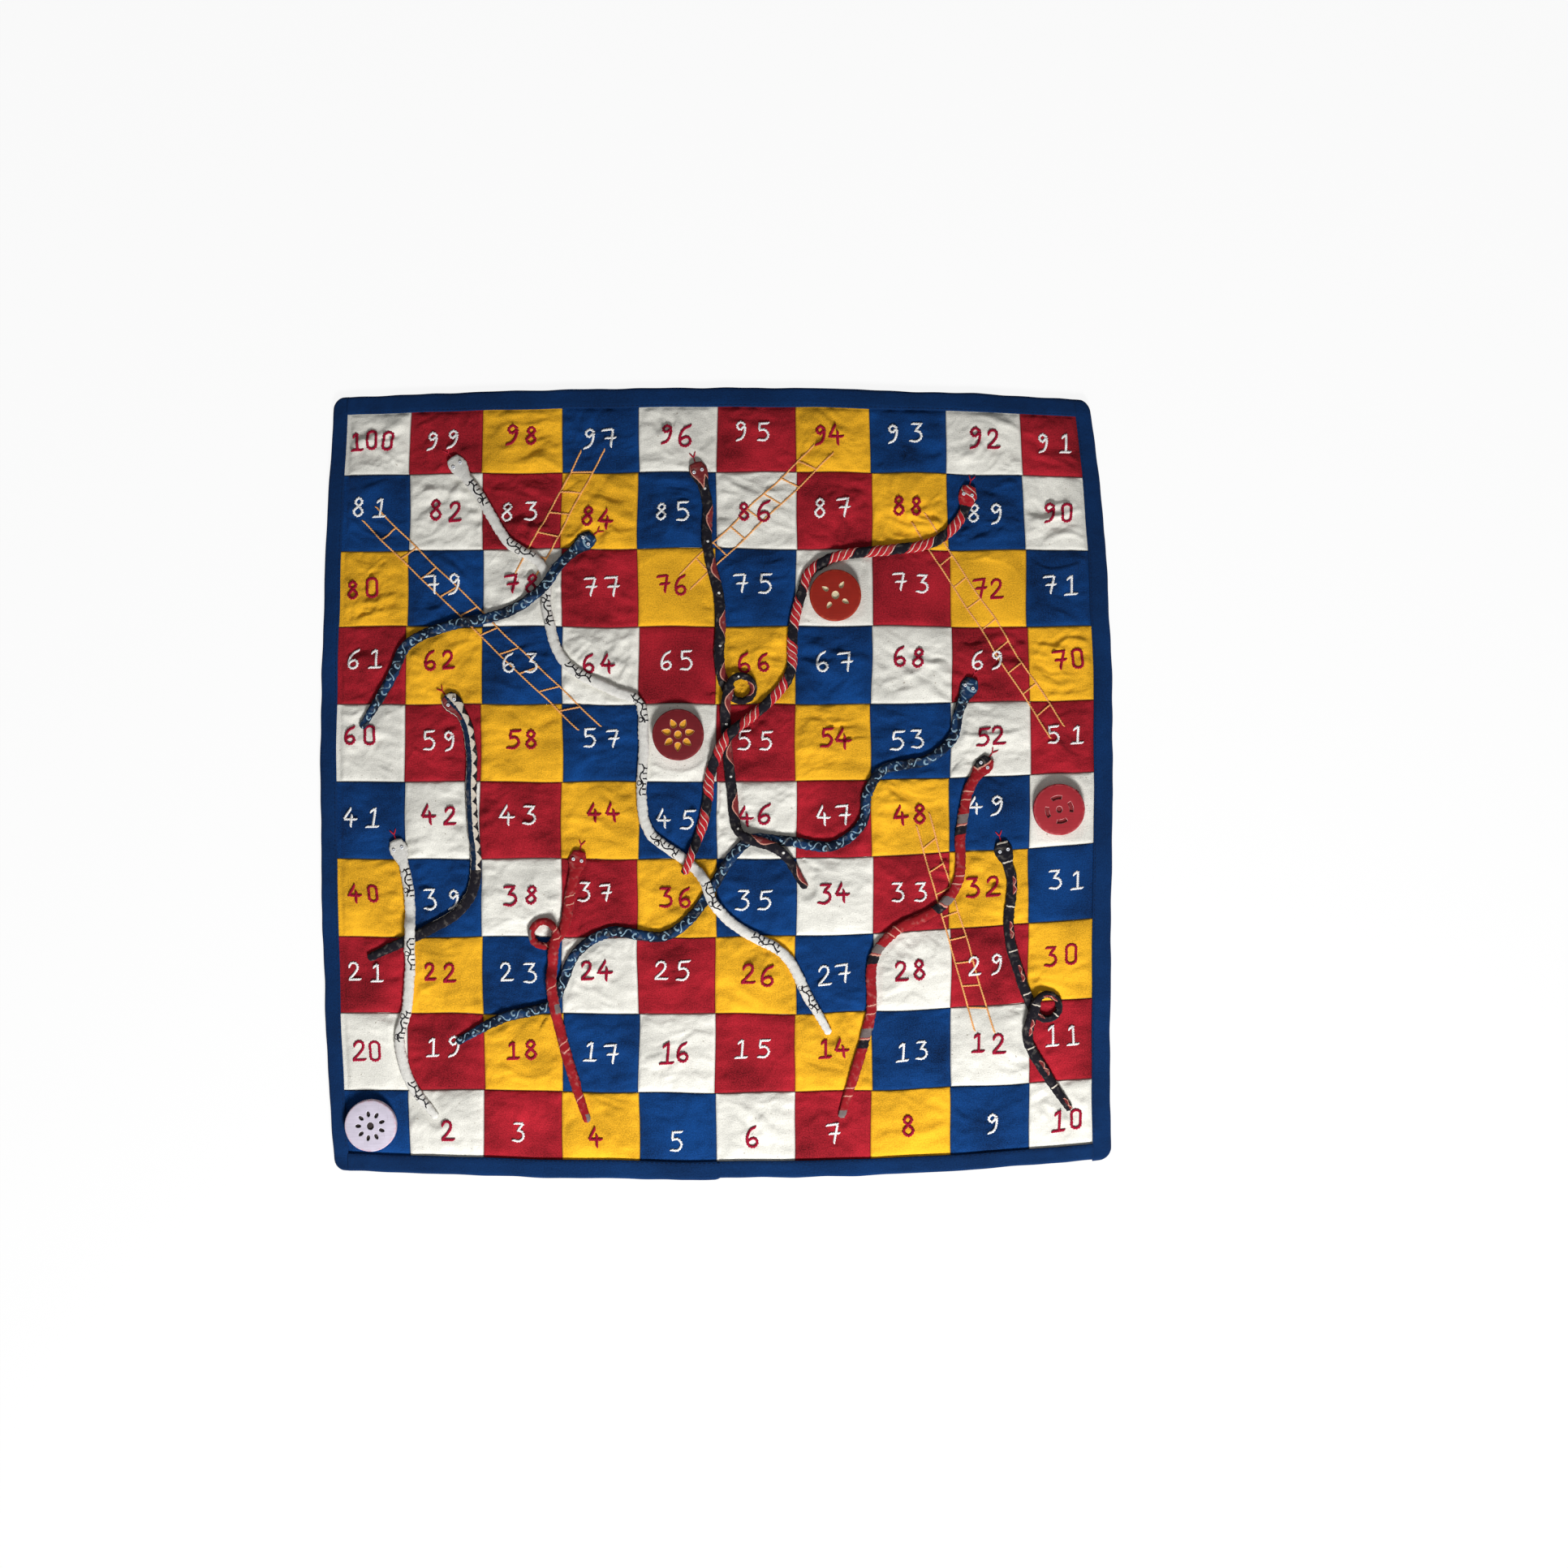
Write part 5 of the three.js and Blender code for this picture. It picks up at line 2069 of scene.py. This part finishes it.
@dataclass
class Counter:
    """A carved disc: its node's name, its colours, some of which are painted light, and its carving and run
    in millimetres.
    """

    node: str
    colour: Colour
    # The paler colour near the edge and in scratches: partly wear, partly a painted highlight.
    worn: Colour
    # The colour of the carving: in the rose counter's bare slots it is painted shade.
    paint_and_shade: Colour
    # The colour of the carving's flared lips: a painted highlight.
    rim_highlight: Colour
    slots: int
    turn: float
    well: Well
    length: float
    width: float
    eye: float
    taper: float
    run: Plan
    depth: float = 1.2 * MM
    lip: float = 0.3 * MM
    slot_at: float = 7.8 * MM
    edge: float = 0.8 * MM
    rounding: Plan = (0.5, 1.05)
    crown: tuple[Plan, Plan] = ((0.6, 0.02 * MM), (0.0, 0.05 * MM))
    uneven: float = 0.012
    uneven_rate: float = 1.3
    eye_stretch: float = 1.1
    above: float = 1 * MM
    sharp: float = math.radians(40)

    def build(self) -> None:
        """Make the counter where its node is."""
        low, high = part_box(self.node)
        centre = (low + high) / 2
        radius = (high.x - low.x) / 2
        top = Vector((centre.x, centre.y, high.z))
        disc = self.disc(Vector((centre.x, centre.y, low.z)), radius, high.z - low.z)
        cutter = self.cutter(top)
        wood = CarvedWood(f"{self.node}_stain", self.colour, self.worn, top, radius)
        # The carving's colour, which in the rose counter is painted shade.
        paint_and_shade = MottledFill(f"{self.node}_carving", self.paint_and_shade)
        # The pale lips of the carving are a painted highlight.
        rim_highlight = MottledFill(f"{self.node}_rim", self.rim_highlight)
        piece = add_piece(f"{self.node}_disc", disc, wood.material(), paint_and_shade.material(), rim_highlight.material())
        tool = add_piece("carving_tool", cutter, *disc.materials)
        cut = piece.modifiers.new("carving", "BOOLEAN")
        cut.operation = "DIFFERENCE"
        cut.object = tool
        cut.solver = "EXACT"
        carved = bpy.data.meshes.new_from_object(piece.evaluated_get(bpy.context.evaluated_depsgraph_get()))
        piece.modifiers.clear()
        piece.data = carved
        bpy.data.objects.remove(tool)
        carved.shade_smooth()
        carved.set_sharp_from_angle(angle=self.sharp)
        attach(piece, self.node)
        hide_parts(self.node)

    def slide(self) -> tuple[Vector, Vector]:
        """Return the two ends of the counter's run over the board."""
        low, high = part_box(self.node)
        start = (low + high) / 2
        return start, start + Vector((*self.run, 0)) * MM

    def disc(self, foot: Vector, radius: float, height: float) -> Mesh:
        """Spin the disc, with round rims and a slightly uneven edge.

        Args:
            foot: The middle of its underside.
            radius: Its radius.
            height: Its height at the rim.

        Returns:
            The mesh.
        """
        bm = bmesh.new()
        edge, flat = self.edge, radius - self.edge
        bends = [(edge * math.cos(angle), edge * math.sin(angle)) for angle in self.rounding]
        profile = [(0.0, 0.0), (flat, 0.0)]
        profile += [(flat + sin, edge - cos) for cos, sin in bends]
        profile += [(radius, edge), (radius, height - edge)]
        profile += [(flat + cos, height - edge + sin) for cos, sin in bends]
        profile += [(flat, height), *((radius * share, height + rise) for share, rise in self.crown)]
        verts = [bm.verts.new(foot + Vector((r, 0, z))) for r, z in profile]
        edges = [bm.edges.new(pair) for pair in zip(verts, verts[1:])]
        shape = [*verts, *edges]
        bmesh.ops.spin(bm, geom=shape, cent=foot, axis=UP, angle=FULL_TURN, steps=72, use_merge=True)
        bmesh.ops.remove_doubles(bm, verts=bm.verts, dist=TOUCHING)
        bmesh.ops.recalc_face_normals(bm, faces=bm.faces)
        noise = Noise(len(self.node) + self.slots)
        for vertex in bm.verts:
            out = vertex.co - foot
            turn = math.atan2(out.y, out.x)
            spot = [np.array(part * self.uneven_rate + 5) for part in (math.cos(turn), math.sin(turn))]
            share = max(self.uneven * float(noise(*spot)), 0)
            vertex.co.x -= out.x * share
            vertex.co.y -= out.y * share
        return mesh_of(bm, self.node)

    def cutter(self, top: Vector) -> Mesh:
        """Make the shape that the carving takes out.

        Args:
            top: The middle of the face.

        Returns:
            The mesh.
        """
        bm = bmesh.new()
        eye = self.eye * MM
        angles = np.linspace(0, FULL_TURN, 16, endpoint=False)
        self.plug(bm, [(eye * math.cos(a), eye * self.eye_stretch * math.sin(a)) for a in angles], top)
        outline = self.outline()
        for slot in range(self.slots):
            turn = math.radians(self.turn + 360 * slot / self.slots)
            cos, sin = math.cos(turn), math.sin(turn)
            self.plug(bm, [(x * cos - y * sin, x * sin + y * cos) for x, y in outline], top)
        bmesh.ops.recalc_face_normals(bm, faces=bm.faces)
        for face in bm.faces:
            # Faces at the flared lip take the pale painted highlight; the faces below take the carving's
            # colour.
            face.material_index = 2 if face.calc_center_median().z > top.z - self.lip else 1
        return mesh_of(bm, "carving_tool")

    def outline(self) -> list[Plan]:
        """Return the outline of the slot on the X side of the middle."""
        length, width = self.length * MM, self.width * MM
        if self.well is Well.TEARDROP:
            angles = np.linspace(0, FULL_TURN, 18, endpoint=False)
            round_slot = [(math.cos(a), math.sin(a)) for a in angles]
            return [
                (self.slot_at + cos * length / 2, sin * width / 2 * (1 - self.taper * cos))
                for cos, sin in round_slot
            ]
        sweep = np.linspace(-0.5, 0.5, 11) * length / self.slot_at
        outer = [(self.slot_at + width / 2, a) for a in sweep]
        inner = [(self.slot_at - width / 2, a) for a in sweep[::-1]]
        return [(r * math.cos(a), r * math.sin(a)) for r, a in outer + inner]

    def plug(self, bm: bmesh.types.BMesh, outline: Sequence[Plan], top: Vector) -> None:
        """Add a plug over an outline, from the carving's floor to above the face, flared at the lip.

        Args:
            bm: Where the plug is added.
            outline: Its outline about the middle of the face.
            top: The middle of the face.
        """
        face = bm.faces.new([bm.verts.new(top + Vector((x, y, -self.depth))) for x, y in outline])
        middle = face.calc_center_median()
        steps = ((self.depth - self.lip, 0.0), (self.lip, self.lip), (self.above, 0.0))
        for step, (rise, flare) in enumerate(steps):
            made = bmesh.ops.extrude_face_region(bm, geom=[face], use_keep_orig=True)
            if step > 0:
                bmesh.ops.delete(bm, geom=[face], context="FACES_ONLY")
            face = next(item for item in made["geom"] if isinstance(item, bmesh.types.BMFace))
            for vertex in face.verts:
                out = vertex.co - middle
                vertex.co += UP * rise + Vector((out.x, out.y, 0)).normalized() * flare


# In each counter the fourth colour, on the lips of the carving, is a painted highlight, and the second,
# paler near the edge, is partly one.
COUNTERS = (
    Counter(
        "counter_pale", srgb(206, 198, 214), srgb(200, 138, 150), srgb(48, 34, 34), srgb(226, 220, 232),
        9, 20, Well.TEARDROP, 3.7, 2.2, 2.2, 0.1, (0, 30),
    ),
    Counter(
        "counter_orange", srgb(148, 30, 14), srgb(186, 74, 46), srgb(226, 212, 180), srgb(214, 190, 156),
        4, -32, Well.TEARDROP, 4.2, 2.2, 2.2, 0.5, (100, 0),
    ),
    Counter(
        "counter_maroon", srgb(112, 20, 28), srgb(150, 62, 62), srgb(230, 168, 36), srgb(222, 178, 140),
        7, 12, Well.TEARDROP, 5.6, 3.5, 2.2, 0.5, (0, 100),
    ),
    # The rose counter's slots are bare carving: their darker red is painted shade.
    Counter(
        "counter_rose", srgb(164, 38, 48), srgb(200, 104, 106), srgb(138, 20, 28), srgb(228, 160, 160),
        4, 13, Well.CRESCENT, 6.4, 2.4, 1.9, 0.0, (0, -75),
    ),
)


GLOSSY_RAY = 3
TRANSMISSION_RAY = 6


@dataclass
class Studio:
    """The floor, the light and the camera."""

    across: float = 1.0104
    lens: float = 45.0
    sensor: float = 36.0
    aim: Plan = (43.4 * MM, -1.6 * MM)
    floor_reach: float = 8.0
    floor_drop: float = 0.2 * MM
    paper: Colour = (0.94, 0.94, 0.94, 1.0)
    sky: float = 0.22
    key_power: float = 25.0
    key_size: float = 0.34
    key_at: tuple[float, float, float] = (0.25, -1.1, 0.88)
    white_share: float = 0.9

    def build(self) -> None:
        """Set the stage."""
        self.floor()
        self.world()
        self.key()
        self.camera()
        bpy.context.scene.view_settings.view_transform = "Standard"

    def floor(self) -> None:
        """Lay the pale floor, which a camera sees nearly white outside the shadow."""
        bm = bmesh.new()
        bmesh.ops.create_grid(bm, x_segments=1, y_segments=1, size=self.floor_reach)
        bmesh.ops.translate(bm, verts=bm.verts, vec=UP * -self.floor_drop)
        net = Net.material("floor_paper")
        pale = net.node("BsdfDiffuse", None, {"Color": self.paper})
        white = net.node("Emission", None, {"Color": WHITE, "Strength": 1.0})
        path = net.node("LightPath")
        seen = path.most(path.beside(GLOSSY_RAY)).most(path.beside(TRANSMISSION_RAY))
        paper = net.node("MixShader", None, {0: seen * self.white_share, 1: pale, 2: white})
        net.node("OutputMaterial", None, {"Surface": paper})
        add_piece("floor", mesh_of(bm, "floor"), net.owner)

    def world(self) -> None:
        """Set the even light from all round, which a camera sees white."""
        world = bpy.data.worlds.new("studio")
        bpy.context.scene.world = world
        net = Net(world)
        strength = net.node("LightPath") * (1 - self.sky) + self.sky
        light = net.node("Background", None, {"Color": WHITE, "Strength": strength})
        net.node("OutputWorld", None, {"Surface": light})

    def key(self) -> None:
        """Hang the soft key light over the near side of the board."""
        lamp = bpy.data.lights.new("key", "AREA")
        lamp.energy = self.key_power
        lamp.size = self.key_size
        holder = bpy.data.objects.new("key", lamp)
        holder.location = self.key_at
        holder.rotation_euler = (-Vector(self.key_at)).to_track_quat("-Z", "Y").to_euler()
        bpy.context.scene.collection.objects.link(holder)

    def camera(self) -> None:
        """Look straight down, with the board left of the middle of the picture."""
        data = bpy.data.cameras.new("camera")
        data.lens = self.lens
        data.sensor_width = self.sensor
        camera = bpy.data.objects.new("camera", data)
        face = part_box("squares_row_01")[1].z
        camera.location = (*self.aim, face + self.across * self.lens / self.sensor)
        bpy.context.scene.collection.objects.link(camera)
        bpy.context.scene.camera = camera


def main() -> None:
    """Build the board piece by piece."""
    logging.basicConfig(level=logging.INFO)
    Studio().build()
    lay = Lay()
    stitcher = Stitcher(lay)
    snakes = Snakes(lay, stitcher)
    lay.sew_on(snakes.follow())
    lay.runs = [counter.slide() for counter in COUNTERS]
    Layers(lay).build()
    Squares(lay).build()
    Binding(lay, stitcher).build()
    Numbers(lay, stitcher).build()
    Ladders(lay, stitcher).build()
    snakes.build()
    for counter in COUNTERS:
        counter.build()


if __name__ == "__main__":
    main()
